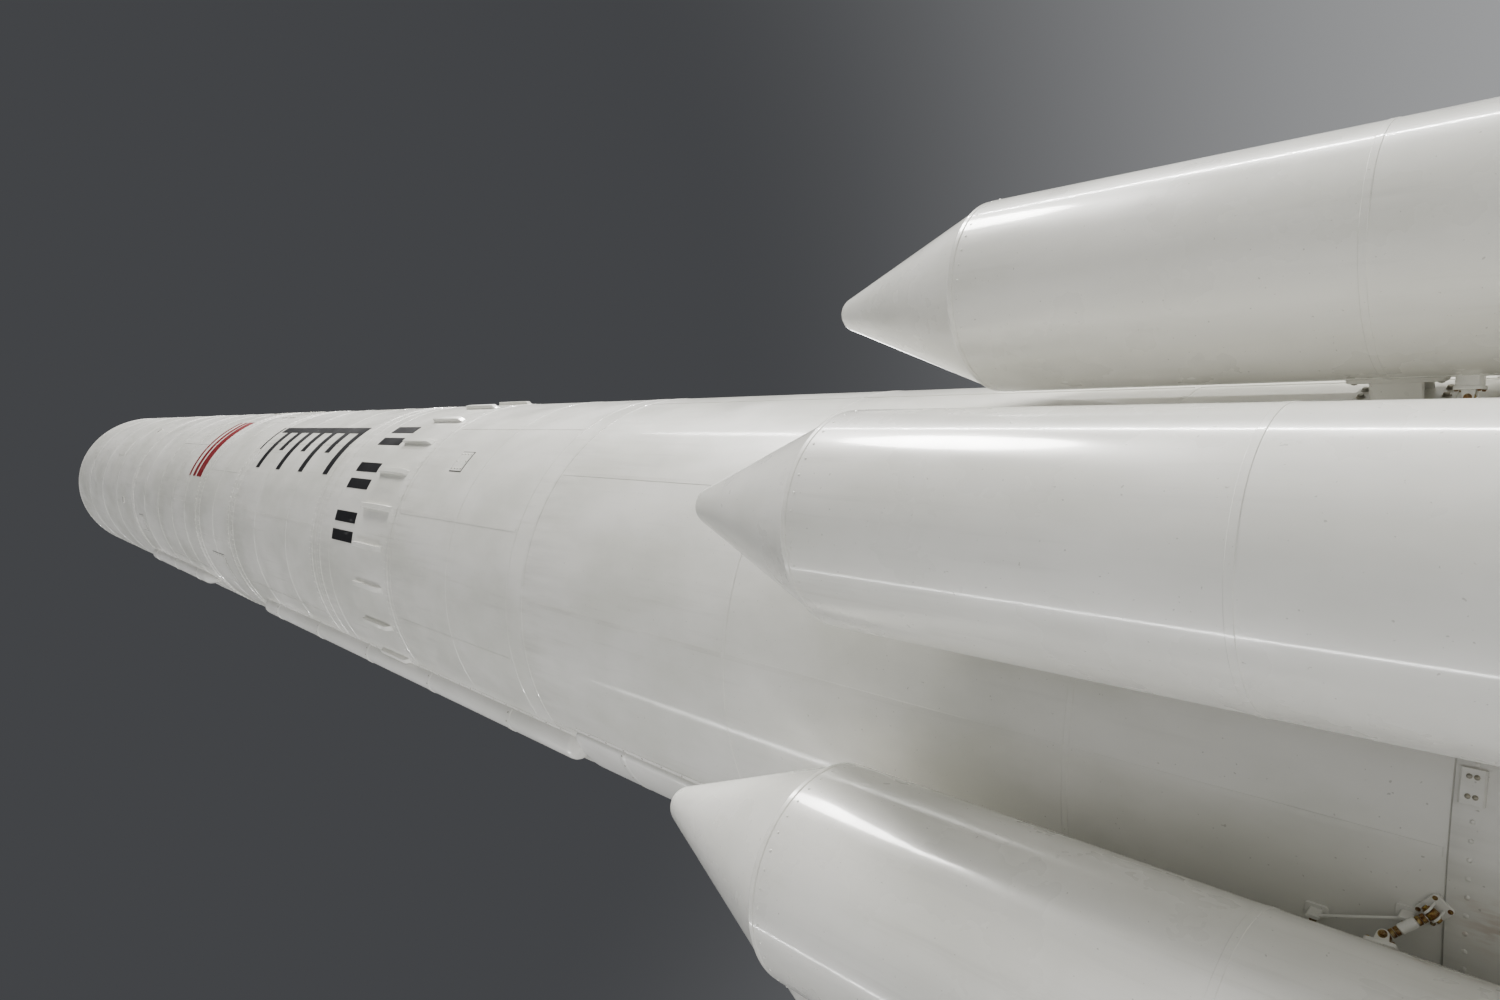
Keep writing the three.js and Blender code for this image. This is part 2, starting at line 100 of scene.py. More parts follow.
def soften(profile, size, steps=3, ring=False):
    """The profile with its corners rounded, each within the given distance of the corner."""
    result = []
    for index, corner in enumerate(profile):
        here = Vector(corner)
        back = Vector(profile[index - 1]) - here
        ahead = Vector(profile[(index + 1) % len(profile)]) - here
        is_end = not ring and index in (0, len(profile) - 1)
        if is_end or min(back.length, ahead.length) < 1e-6 or back.angle(-ahead) < math.radians(6):
            result.append(corner)
            continue
        start = here + back.normalized() * min(size, back.length * 0.45)
        end = here + ahead.normalized() * min(size, ahead.length * 0.45)
        for share in np.linspace(0, 1, steps + 1):
            place = start * (1 - share) ** 2 + here * (2 * share * (1 - share)) + end * share ** 2
            result.append(tuple(place))
    return result


def divided(profile, longest):
    """The profile with points added so that no stretch of it is longer than the given length."""
    result = [profile[0]]
    for start, end in zip(profile, profile[1:]):
        count = max(1, math.ceil(math.dist(start, end) / longest - 1e-6))
        for step in range(1, count + 1):
            result.append(tuple(a + (b - a) * step / count for a, b in zip(start, end)))
    return result


def inset(outline, size):
    """A convex outline moved inwards."""
    result = []
    for index, corner in enumerate(outline):
        here = Vector(corner)
        back = (here - Vector(outline[index - 1])).normalized()
        ahead = (Vector(outline[(index + 1) % len(outline)]) - here).normalized()
        normals = Vector((-back.y, back.x)) + Vector((-ahead.y, ahead.x))
        lean = max(0.3, normals.length_squared / 2)
        result.append(tuple(here + normals * (size / lean)))
    return result


def smooth_path(points):
    """A smooth path through the points."""
    points = [Vector(point) for point in points]
    ends = [points[0] * 2 - points[1]] + points + [points[-1] * 2 - points[-2]]
    path = []
    for a, b, c, d in zip(ends, ends[1:], ends[2:], ends[3:]):
        for t in np.arange(PATH_STEPS) / PATH_STEPS:
            bend = (2 * a - 5 * b + 4 * c - d) * t ** 2 + (3 * b - a - 3 * c + d) * t ** 3
            path.append(0.5 * (2 * b + (c - a) * t + bend))
    return path + [points[-1]]


# Shapes: a part is a pair of points and faces


def together(*parts):
    """Several parts as one."""
    points = []
    faces = []
    for more_points, more_faces in parts:
        start = len(points)
        points.extend(more_points)
        faces.extend([[start + index for index in face] for face in more_faces])
    return points, faces


def moved(part, place):
    """The part at a place, which is a matrix."""
    points, faces = part
    return [tuple(place @ Vector(point)) for point in points], faces


def lathe(profile, sides, start=0.0, sweep=360.0, ring=False):
    """A profile of (radius, height) points turned around Z. A ring's profile closes on itself."""
    whole = sweep >= 360
    columns = sides if whole else sides + 1
    turns = np.radians(start + sweep * np.arange(columns) / sides)
    points = []
    rows = []
    for radius, height in profile:
        if radius < 1e-9:
            rows.append([len(points)] * columns)
            points.append((0.0, 0.0, height))
        else:
            rows.append(list(range(len(points), len(points) + columns)))
            points.extend(zip(radius * np.cos(turns), radius * np.sin(turns), [height] * columns))
    faces = []
    for lower, upper in list(zip(rows, rows[1:])) + ([(rows[-1], rows[0])] if ring else []):
        for near in range(sides):
            far = (near + 1) % columns
            face = list(dict.fromkeys((lower[near], lower[far], upper[far], upper[near])))
            if len(face) > 2:
                faces.append(face)
    if not whole:
        faces.append(list(dict.fromkeys(row[0] for row in rows)))
        faces.append(list(dict.fromkeys(row[-1] for row in reversed(rows))))
    return points, faces


def skin_of(rings):
    """A closed skin over rings that have the same number of points."""
    count = len(rings[0])
    points = [point for ring in rings for point in ring]
    faces = [list(range(count))[::-1]]
    for base in range(0, len(points) - count, count):
        for near in range(count):
            far = (near + 1) % count
            faces.append([base + near, base + far, base + count + far, base + count + near])
    faces.append([len(points) - count + index for index in range(count)])
    return points, faces


def prism(outline, low, high, bevel=0.0):
    """An outline of (x, y) points, anticlockwise, raised from one height to another."""
    rows = [(outline, low), (outline, high)]
    if bevel:
        small = inset(outline, bevel)
        rows = [(small, low), (outline, low + bevel), (outline, high - bevel), (small, high)]
    return skin_of([[(x, y, height) for x, y in flat] for flat, height in rows])


def plate(width, tall, radius, low, high, bevel=0.002, steps=3):
    """A flat plate with round corners, around the origin."""
    return prism(rounded_box(width, tall, radius, steps), low, high, bevel)


def box(corner, other, bevel=0.0):
    """A box between two opposite corners."""
    (left, right), (front, back), (low, high) = (sorted(pair) for pair in zip(corner, other))
    return prism([(left, front), (right, front), (right, back), (left, back)], low, high, bevel)


def rod(radius, low, high, sides, soft=0.0):
    """A round bar along Z."""
    profile = rectangle(0, radius, low, high)
    return lathe(soften(profile, soft, 2) if soft else profile, sides)


def hoop(radius, height, proud, tall, sides):
    """A ring that stands proud of a radius."""
    low = height - tall / 2
    high = height + tall / 2
    outer = radius + proud + 0.004
    profile = [(radius, low), (outer, low + 0.004), (outer, high - 0.004), (radius, high)]
    return lathe(profile, sides, ring=True)


def tube(path, radii, sides=12):
    """A round tube along a path, closed at both ends, with one radius or one for each point."""
    path = [Vector(point) for point in path]
    if not hasattr(radii, "__len__"):
        radii = [radii] * len(path)
    rings = []
    side = None
    for index, here in enumerate(path):
        along = (path[min(index + 1, len(path) - 1)] - path[max(index - 1, 0)]).normalized()
        side = along.orthogonal() if side is None else side
        side = (side - along * side.dot(along)).normalized()
        other = along.cross(side)
        rings.append([tuple(here + side * x + other * y) for x, y in circle(radii[index], sides)])
    return skin_of(rings)


def dome(radius, height, sides=8):
    """A rivet's or screw's low round head, a little sunk."""
    sunk = -0.3 * height
    flank = [(radius, sunk), (radius, height * 0.3), (radius * 0.6, height * 0.85)]
    return lathe([(0, sunk)] + flank + [(0, height)], sides)


def bolt(radius, height):
    """A washer and a six-sided head."""
    washer = prism(circle(radius * 1.35, 14), -height * 0.3, height * 0.22)
    head = prism(circle(radius, 6), height * 0.2, height, radius * 0.12)
    return together(washer, head)


# Places

HERE = Matrix.Identity(4)
STAND = Matrix(((0, 0, 1, 0), (1, 0, 0, 0), (0, 1, 0, 0), (0, 0, 0, 1)))


def direction(angle, rise=0.0):
    """The way out from the core at an angle, tilted up by a rise."""
    turn = math.radians(angle)
    lift = math.radians(rise)
    return Vector((math.cos(turn) * math.cos(lift), math.sin(turn) * math.cos(lift), math.sin(lift)))


def frame_of(origin, out, up=(0, 0, 1)):
    """A place whose Z axis points along out, and whose Y axis is as near to up as can be."""
    z_axis = Vector(out).normalized()
    x_axis = Vector(up).cross(z_axis).normalized()
    place = Matrix((x_axis, z_axis.cross(x_axis), z_axis)).transposed().to_4x4()
    place.translation = Vector(origin)
    return place


def on_round(radius, angle, height):
    """A place on the skin of a round body, its Z axis out of the skin and its Y axis up."""
    out = direction(angle)
    return frame_of(out * radius + Vector((0, 0, height)), out)


def ring_of(radius, height, count, first=0.0):
    """Places around a round skin."""
    return [on_round(radius, first + 360 * index / count, height) for index in range(count)]


def ring_above(radius, height, count, first=0.0, down=False):
    """Places around a circle, each with its Z axis up, or down."""
    outs = [direction(first + 360 * index / count) for index in range(count)]
    return [frame_of(out * radius + Vector((0, 0, height)), (0, 0, -1 if down else 1), out) for out in outs]


def turned(angle, axis="Z"):
    return Matrix.Rotation(math.radians(angle), 4, axis)


def at(x, y, z):
    return Matrix.Translation((x, y, z))


class Shape:
    """Parts that are joined into one mesh, each with the number of its material."""

    def __init__(self):
        self.points = []
        self.faces = []
        self.finishes = []

    def add(self, part, finish=0, places=(HERE,)):
        base = np.array(part[0], float)
        for place in places:
            start = len(self.points)
            matrix = np.array(place)
            self.points.extend((base @ matrix[:3, :3].T + matrix[:3, 3]).tolist())
            self.faces.extend([[start + index for index in face] for face in part[1]])
            self.finishes.extend([finish] * len(part[1]))

    def repaint(self, finish, inside):
        """Gives another finish to the faces whose middle lies where the rule says."""
        for index, face in enumerate(self.faces):
            if inside(*np.mean([self.points[corner] for corner in face], axis=0)):
                self.finishes[index] = finish

    def piece(self, name, materials, nodes=(), slot="core_paint", body="airframe", marks=None, place=HERE):
        """Makes the piece, which rides on a body and stands for the frame's nodes."""
        mesh = bpy.data.meshes.new(name)
        matrix = np.array(place)
        mesh.from_pydata((np.array(self.points) @ matrix[:3, :3].T + matrix[:3, 3]).tolist(), [], self.faces)
        for material in materials:
            mesh.materials.append(material)
        mesh.polygons.foreach_set("material_index", self.finishes)
        for title, rule in (marks or {}).items():
            attribute = mesh.attributes.new(title, "FLOAT", "POINT")
            attribute.data.foreach_set("value", [rule(*point) for point in self.points])
        mesh.shade_smooth()
        mesh.set_sharp_from_angle(angle=math.radians(SHARP_ANGLE))
        mesh.update()
        piece = bpy.data.objects.new(name, mesh)
        bpy.context.scene.collection.objects.link(piece)
        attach(piece, body)
        if nodes:
            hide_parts(*nodes)


# Materials


class Nodes:
    """A node tree, with short names for the nodes that it is made of."""

    def __init__(self, tree):
        self.tree = tree

    def put(self, socket, value):
        if isinstance(value, bpy.types.NodeSocket):
            self.tree.links.new(value, socket)
        else:
            socket.default_value = value

    def node(self, kind, inputs=(), **settings):
        node = self.tree.nodes.new("ShaderNode" + kind)
        for title, value in settings.items():
            setattr(node, title, value)
        for title, value in dict(inputs).items():
            self.put(node.inputs[title], value)
        return node

    def fit(self, value, low, high, to_low=0.0, to_high=1.0):
        """The value where it lies between low and high, as a share, smoothed at both ends."""
        ends = {"From Min": low, "From Max": high, "To Min": to_low, "To Max": to_high, "Value": value}
        return self.node("MapRange", ends, interpolation_type="SMOOTHSTEP").outputs[0]

    def sum(self, kind, first, second, clamp=False):
        return self.node("Math", {0: first, 1: second}, operation=kind, use_clamp=clamp).outputs[0]

    def times(self, first, second):
        return self.sum("MULTIPLY", first, second)

    def blend(self, share, first, second):
        return self.node("Mix", {0: share, 6: first, 7: second}, data_type="RGBA").outputs[2]


class Finish(Nodes):
    """A material, and the textures that it is made of."""

    def __init__(self, name, roughness=0.4, metallic=0.0, **sockets):
        self.material = bpy.data.materials.new(name)
        self.material.use_nodes = True
        super().__init__(self.material.node_tree)
        self.shader = self.tree.nodes["Principled BSDF"]
        self.set(Roughness=roughness, Metallic=metallic, **sockets)
        self.places = self.node("TexCoord").outputs["Object"]

    def set(self, **values):
        for title, value in values.items():
            self.put(self.shader.inputs[title.replace("_", " ")], value)
        return self.material

    def noise(self, size, detail=4.0, stretch=(1, 1, 1), roughness=0.55):
        """Noise whose lumps are about the given size in metres, stretched along an axis."""
        scale = [1 / (size * share) for share in stretch]
        mapping = self.node("Mapping", {"Vector": self.places, "Scale": scale})
        inputs = {"Vector": mapping.outputs[0], "Scale": 1.0, "Detail": detail, "Roughness": roughness}
        return self.node("TexNoise", inputs).outputs[0]

    def cloud(self, low, high, *noise):
        return self.fit(self.noise(*noise), low, high)

    def mark(self, title):
        return self.node("Attribute", attribute_name=title).outputs["Fac"]

    def bump(self, height, distance, under=None):
        node = self.node("Bump", {"Strength": 1.0, "Distance": distance, "Height": height})
        if under is not None:
            self.put(node.inputs["Normal"], under)
        return node.outputs[0]


def rgb(red, green, blue):
    return (red, green, blue, 1.0)


def shaded(colour, share, lift=0.0):
    return rgb(*[value * share + lift for value in colour[:3]])


DIRT = rgb(0.34, 0.33, 0.29)
RUST = rgb(0.33, 0.15, 0.05)
DULLING = (0.86, 0.87, 0.84)
SLOT_COLOURS = {row["slot"]: rgb(*row["base_color"]) for row in frame["record"]["materials"]}


def paint(name, gloss, waviness, mottling):
    """Old white paint on sheet metal: blotches, streaks that run down, specks, and dirt where it gathers."""
    finish = Finish(name, Coat_Weight=0.5, Coat_Roughness=0.09)
    colour = SLOT_COLOURS[name]
    paler = rgb(*[min(1.0, value * 1.05) for value in colour[:3]])
    duller = rgb(*[value * shade for value, shade in zip(colour, DULLING)])
    blotches = finish.times(finish.cloud(0.36, 0.66, 0.55, 5.0, (1, 1, 1.6)), mottling)
    drips = finish.cloud(0.50, 0.78, 0.035, 5.0, (1, 1, 22), 0.6)
    streaks = finish.times(drips, finish.cloud(0.42, 0.68, 0.8, 3.0))
    gathered = finish.times(finish.mark("grime"), finish.cloud(0.25, 0.85, 0.05, 4.0, (1, 1, 9)))
    dirt = finish.sum("ADD", finish.times(streaks, 0.22), finish.times(gathered, 0.34), clamp=True)
    dirty = finish.blend(dirt, finish.blend(blotches, paler, duller), DIRT)
    speckled = finish.blend(finish.times(finish.cloud(0.74, 0.80, 0.012, 1.0), 0.45), dirty, DIRT)
    rusting = finish.times(finish.mark("rust"), finish.cloud(0.42, 0.62, 0.018, 5.0, (1, 1, 4)))
    rough = finish.fit(finish.noise(0.3), 0.3, 0.7, gloss - 0.05, gloss + 0.08)
    dents = finish.bump(finish.noise(0.42, 2.0, (1, 1, 1.7)), waviness)
    return finish.set(
        Base_Color=finish.blend(rusting, speckled, RUST),
        Roughness=finish.sum("ADD", rough, finish.times(dirt, 0.25), clamp=True),
        Normal=finish.bump(finish.noise(0.0035, 2.0), 0.00006, under=dents),
    )


def surface(name, colours, cloud, gloss, gloss_range, relief, depth, metallic=0.0):
    """Clouds of two tints, an uneven gloss and a fine relief."""
    finish = Finish(name, metallic=metallic)
    return finish.set(
        Base_Color=finish.blend(finish.cloud(*cloud), *colours),
        Roughness=finish.fit(finish.noise(*gloss), *gloss_range),
        Normal=finish.bump(finish.noise(*relief), depth),
    )


def flat_paint(name, colour, rough):
    """A painted marking, a little worn."""
    colours = (colour, shaded(colour, 0.8, 0.11))
    worn = (0.60, 0.80, 0.05, 6.0, (1, 1, 3))
    return surface(name, colours, worn, (0.2,), (0.3, 0.7, rough, rough + 0.12), (0.004, 2.0), 0.00008)


def metal(name, colour, rough, tint):
    """Bare metal with a grain and a change of tint."""
    grain = (0.002, 3.0)
    gloss_range = (0.25, 0.75, rough, rough + 0.2)
    return surface(name, (colour, tint), (0.35, 0.68, 0.12, 5.0), grain, gloss_range, grain, 0.00005, 1.0)


def primer(name, colour):
    """Primed metal inside the vehicle."""
    colours = (colour, shaded(colour, 0.78))
    patches = (0.35, 0.68, 0.25, 5.0)
    return surface(name, colours, patches, (0.05,), (0.3, 0.7, 0.45, 0.62), (0.004, 2.0), 0.0001)


def dark_composite(name):
    """The charred outside and inside of a solid motor's nozzle, with wrapped layers."""
    colours = (rgb(0.115, 0.108, 0.100), rgb(0.065, 0.061, 0.058))
    layers = (0.05, 4.0, (6, 6, 0.12))
    return surface(name, colours, (0.38, 0.66, 0.09, 5.0), layers, (0.3, 0.7, 0.6, 0.85), layers, 0.0012)


def rusty_metal(name):
    """Yellow zinc plating that rusts in patches."""
    finish = Finish(name)
    rust = finish.cloud(0.40, 0.60, 0.010, 6.0)
    zinc = finish.blend(finish.cloud(0.4, 0.65, 0.03), rgb(0.42, 0.31, 0.10), rgb(0.34, 0.29, 0.18))
    return finish.set(
        Base_Color=finish.blend(rust, zinc, rgb(0.20, 0.09, 0.03)),
        Metallic=finish.sum("SUBTRACT", 0.8, rust, clamp=True),
        Roughness=finish.fit(rust, 0.0, 1.0, 0.38, 0.85),
        Normal=finish.bump(finish.noise(0.003), 0.0004),
    )


def heated_metal(name):
    """The steel of an engine bell, straw and blue where it ran hot."""
    finish = Finish(name, metallic=1.0)
    height = finish.node("SeparateXYZ", {0: finish.places}).outputs[2]
    wavy = finish.sum("ADD", height, finish.times(finish.noise(0.3), 0.25))
    straw = finish.blend(finish.fit(wavy, 0.35, 0.85), rgb(0.44, 0.43, 0.42), rgb(0.44, 0.40, 0.345))
    lines = finish.noise(0.003, 3.0, (1, 1, 12))
    return finish.set(
        Base_Color=finish.blend(finish.fit(wavy, 0.95, 1.25), straw, rgb(0.30, 0.31, 0.35)),
        Roughness=finish.fit(lines, 0.25, 0.75, 0.28, 0.5),
        Normal=finish.bump(lines, 0.0001),
    )


CORE_PAINT = paint("core_paint", 0.36, 0.010, 0.75)
BOOSTER_PAINT = paint("booster_paint", 0.28, 0.006, 0.60)
COVER_PAINT = paint("cover_paint", 0.34, 0.002, 0.50)
MOTOR_PAINT = primer("motor_paint", SLOT_COLOURS["motor_paint"])
BLACK_MARK = flat_paint("black_marking", rgb(0.018, 0.018, 0.020), 0.38)
RED_MARK = flat_paint("red_marking", rgb(0.22, 0.018, 0.022), 0.36)
# The dark sealant also draws the fairing vents' slots, where it is painted shade.
SEALANT_AND_SHADE = flat_paint("dark_sealant_and_shade", rgb(0.075, 0.072, 0.066), 0.6)
STEEL = metal("engine_steel", rgb(0.46, 0.45, 0.44), 0.32, rgb(0.38, 0.36, 0.33))
HOT_STEEL = heated_metal("heated_steel")
ZINC = metal("zinc_plate", rgb(0.50, 0.49, 0.46), 0.38, rgb(0.40, 0.37, 0.30))
RUSTY_ZINC = rusty_metal("rusty_zinc")
DARK_NOZZLE = dark_composite("dark_nozzle")
GREEN_PRIMER = primer("inside_primer", rgb(0.42, 0.47, 0.30))
COPPER_FOIL = metal("amber_foil", rgb(0.60, 0.40, 0.16), 0.28, rgb(0.50, 0.31, 0.11))
CORE_FINISHES = [CORE_PAINT, ZINC, SEALANT_AND_SHADE, STEEL, GREEN_PRIMER]
BOOSTER_FINISHES = [BOOSTER_PAINT, ZINC, SEALANT_AND_SHADE, STEEL, RUSTY_ZINC]
PAINT, HARDWARE, SEAL, BARE, INSIDE = range(5)
RUSTED = 4


# Core skin

BAND = {"height": 0.060, "proud": 0.0030}
WELD = {"height": 0.016, "proud": 0.0018}
LAP = {"height": 0.030, "proud": 0.0022}
RING_SEAMS = [
    (2.90, WELD), (4.45, WELD), (6.15, LAP), (6.32, WELD), (7.10, WELD),
    (8.05, BAND), (9.20, WELD), (9.43, BAND),
    (9.62, BAND), (10.30, WELD), (11.25, WELD), (12.02, BAND),
    (12.19, BAND), (12.80, WELD), (13.40, BAND),
    (13.57, BAND), (14.10, WELD), (14.764, LAP), (15.557, LAP), (16.40, WELD), (17.20, BAND),
    (18.50, WELD), (19.75, WELD), (21.05, WELD), (22.24, LAP),
]
BAND_RIVETS = 160

# Upright seams: first and last height, first angle, width, how proud
SHEET_COUNT = 10
SHEET_SEAMS = {
    "oxidiser_tank": [
        (BOTTOM["oxidiser_tank"] + 0.01, 6.12, -113.0, 0.022, 0.0016),
        (6.34, TOP["oxidiser_tank"] - 0.02, -95.0, 0.022, 0.0016),
    ],
    "fuel_tank": [(BOTTOM["fuel_tank"] + 0.08, TOP["fuel_tank"] - 0.12, -106.0, 0.022, 0.0016)],
    "interstage": [(BOTTOM["interstage"] + 0.14, TOP["interstage"] - 0.14, -124.0, 0.034, 0.0014)],
    "second_stage": [(BOTTOM["second_stage"] + 0.14, 15.53, -109.0, 0.022, 0.0016)],
}

# Access covers: angle, height, width, how tall, screws across and up
UPPER_COVERS = ((-130, 16.75), (52, 16.75), (-30, 13.95))
COVERS = {
    "oxidiser_tank": [(angle, 7.45, 0.16, 0.16, (3, 4)) for angle in (-75, 40, 165)],
    "interstage": [(angle, 12.80, 0.34, 0.46, (5, 6)) for angle in (-38, 90, -140)],
    "second_stage": [(angle, height, 0.22, 0.26, (4, 4)) for angle, height in UPPER_COVERS],
}
BLOCK = {"bottom": 8.144, "top": 8.634, "width": 0.040, "proud": 0.030, "bevel": 0.060}
BLOCK_COUNT = 26
FIRST_BLOCK_ANGLE = -136.4


def grime_at(x, y, z):
    """How much dirt gathers at a height: most just under a joint, then less and less."""
    drops = [height - z for height, kind in RING_SEAMS if kind is not WELD and height >= z]
    return math.exp(-min(drops) / 0.28) if drops else 0.0


def wall_points(low, high):
    """The skin's outline from one height to another, with its ring seams standing proud."""
    points = [(CORE_RADIUS - 0.003, low), (CORE_RADIUS, low + 0.003)]
    for height, kind in RING_SEAMS:
        if low + 0.02 < height < high - 0.02:
            half = kind["height"] / 2
            foot = half + kind["proud"] * 1.5
            rises = ((-foot, 0), (-half, kind["proud"]), (half, kind["proud"]), (foot, 0))
            points += [(CORE_RADIUS + proud, height + rise) for rise, proud in rises]
    return points + [(CORE_RADIUS, high - 0.003), (CORE_RADIUS - 0.003, high)]


def strip(radius, angle, low, high, width, proud, sunk=0.004, steps=2):
    """A thin plate that lies on a round skin, around an angle."""
    sweep = math.degrees(width / radius)
    edge = min(proud * 0.6, 0.004)
    outer = radius + proud
    profile = [(radius - sunk, low), (outer - edge, low), (outer, low + edge)]
    profile += [(outer, high - edge), (outer - edge, high), (radius - sunk, high)]
    return lathe(profile, steps, angle - sweep / 2, sweep, ring=True)


def add_cover(shape, radius, angle, height, width, tall, screws, proud=0.004, gasket=True):
    """An access cover with a dark gasket and screws along its edges."""
    low = height - tall / 2
    high = height + tall / 2
    if gasket:
        shape.add(strip(radius, angle, low - 0.007, high + 0.007, width + 0.014, proud * 0.35, steps=8), SEAL)
    shape.add(strip(radius, angle, low, high, width, proud, steps=8))
    margin = 0.018
    across, up = screws
    for side in range(across):
        turn = angle + math.degrees((side / (across - 1) - 0.5) * (width - 2 * margin) / radius)
        for row in range(up):
            if side in (0, across - 1) or row in (0, up - 1):
                rise = (row / (up - 1) - 0.5) * (tall - 2 * margin)
                shape.add(dome(0.006, 0.003), HARDWARE, [on_round(radius + proud, turn, height + rise)])


def add_blocks(shape):
    """The ring of blocks: bars with a sloping lower end, each on a thin bead of sealant."""
    length = BLOCK["top"] - BLOCK["bottom"]
    half = length / 2
    proud = BLOCK["proud"]
    side = [(-half, -0.03), (half, -0.03), (half, proud), (-half + BLOCK["bevel"], proud), (-half, 0.0)]
    bar = moved(prism(side, -BLOCK["width"] / 2, BLOCK["width"] / 2, 0.003), STAND)
    bead = plate(BLOCK["width"] + 0.010, length + 0.010, 0.006, -0.012, 0.0025, 0.001)
    middle = (BLOCK["bottom"] + BLOCK["top"]) / 2
    shape.add(together(bar, bead), PAINT, ring_of(CORE_RADIUS, middle, BLOCK_COUNT, FIRST_BLOCK_ANGLE))


def add_upper_deck(shape, high):
    """Spokes, units, cables and the rings of bolts on the second stage's deck and spin table."""
    table = SPIN_TABLE["radius"]
    shape.add(bolt(0.012, 0.014), HARDWARE, ring_above(table + 0.075, high + 0.004, 36))
    shape.add(bolt(0.010, 0.012), HARDWARE, ring_above(1.16, high, 48))
    shape.add(bolt(0.009, 0.010), HARDWARE, ring_of(table, high + 0.21, 32))
    spoke = box((0.64, -0.012, high - 0.004), (1.08, 0.012, high + 0.035), 0.003)
    shape.add(spoke, BARE, [turned(45 * index + 22.5) for index in range(8)])
    route = [(0.86, 0.07, 0.05), (0.84, 0.16, 0.03), (0.76, 0.22, 0.012), (0.64, 0.22, 0.02)]
    cable = tube(smooth_path([(x, y, high + rise) for x, y, rise in route]), 0.008, 8)
    for angle in (20.0, 130.0, 250.0):
        unit = plate(0.20, 0.14, 0.012, 0.0, 0.11, 0.006)
        shape.add(unit, BARE, [turned(angle) @ at(0.86, 0, high - 0.004)])
        shape.add(cable, SEAL, [turned(angle)])


def deck_profile(high):
    """The second stage's deck and spin table, from the wall to the axis."""
    table = SPIN_TABLE["radius"]
    steps = [
        (1.20, 0), (1.10, 0), (1.10, -0.004), (0.62, -0.004), (0.60, 0.02), (table + 0.03, 0.02),
        (table + 0.03, 0.05), (table, 0.055), (table, 0.10), (table - 0.02, 0.105), (table - 0.02, 0.16),
        (table, 0.165),
    ]
    profile = [(radius, high + rise) for radius, rise in steps]
    return soften(profile + [(table, SPIN_TABLE["top"]), (0, SPIN_TABLE["top"])], 0.004, 2)


def make_core_length(name):
    """A closed length of the core, with its seams, rivets and covers."""
    low = BOTTOM[name]
    high = TOP[name]
    wall = [(0, low)] + wall_points(low, high)
    shape = Shape()
    if name == "second_stage":
        shape.add(lathe(divided(wall, SKIN_STEP) + deck_profile(high), CORE_SIDES))
        add_upper_deck(shape, high)
    else:
        shape.add(lathe(divided(wall + [(0, high)], SKIN_STEP), CORE_SIDES))
    if name == "center_body":
        add_blocks(shape)
    bands = [height for height, kind in RING_SEAMS if kind is BAND and low < height < high]
    for height in bands:
        for offset in (-0.018, 0.018):
            places = ring_of(CORE_RADIUS + BAND["proud"], height + offset, BAND_RIVETS)
            shape.add(dome(0.0055, 0.0028, 6), PAINT, places)
    for seam_low, seam_high, first, width, proud in SHEET_SEAMS.get(name, ()):
        for index in range(SHEET_COUNT):
            angle = first + 360 / SHEET_COUNT * index
            shape.add(strip(CORE_RADIUS, angle, seam_low, seam_high, width, proud))
    for cover in COVERS.get(name, ()):
        add_cover(shape, CORE_RADIUS, *cover)
    shape.piece(name + "_skin", CORE_FINISHES, [name], marks={"grime": grime_at})


# Engine section

STRUT_SPREAD = 10.6
RUST_FEET = (1.96, 0.69)
BEAM = {"width": 0.120, "bottom": 1.740, "flange": 0.014, "web": 0.016}
GIMBAL = {"height": 1.640, "ear": 0.022, "inner": 0.075, "width": 0.070, "pin": 0.022}
VERNIER = {"offset": 1.010, "height": 0.560}
CHEEK = {"gap": 0.062, "thickness": 0.014, "width": 0.080, "arm_low": 0.640, "arm_high": 0.680}
LINES = ((33, 0.030, 0.10), (57, 0.022, 0.08), (123, 0.030, 0.10), (214, 0.024, 0.09), (303, 0.030, 0.10))


def rust_at(x, y, z):
    """Rust runs down from the strut feet on the skirt."""
    angle = math.degrees(math.atan2(y, x))
    strength = 0.0
    for index in range(BOOSTER_COUNT):
        for side in (-1, 1):
            foot = -90 + BOOSTER_STEP * index + side * STRUT_SPREAD
            apart = abs((angle - foot + 180) % 360 - 180)
            for height in RUST_FEET:
                drop = height - z
                if apart < 3.5 and 0 <= drop < 0.35:
                    strength = max(strength, (1 - apart / 3.5) * (1 - drop / 0.35))
    return strength * 0.45


def skirt_grime(x, y, z):
    return max(math.exp(-abs(TOP["engine_section"] - z) / 0.06), math.exp(-z / 0.18)) * 0.9


def eye_plate(width, low, high, thickness, hole):
    """A plate along Z with a round lower end and a boss where its pin goes, seen along X."""
    half = width / 2
    outline = arc(0, 0, half, 180, 360, 13) + [(half, high - low), (-half, high - low)]
    body = prism(outline, -thickness / 2, thickness / 2, 0.0015)
    boss = rod(hole * 1.55, -thickness * 0.8, thickness * 0.8, 28)
    return moved(together(body, boss), at(0, 0, low) @ STAND)


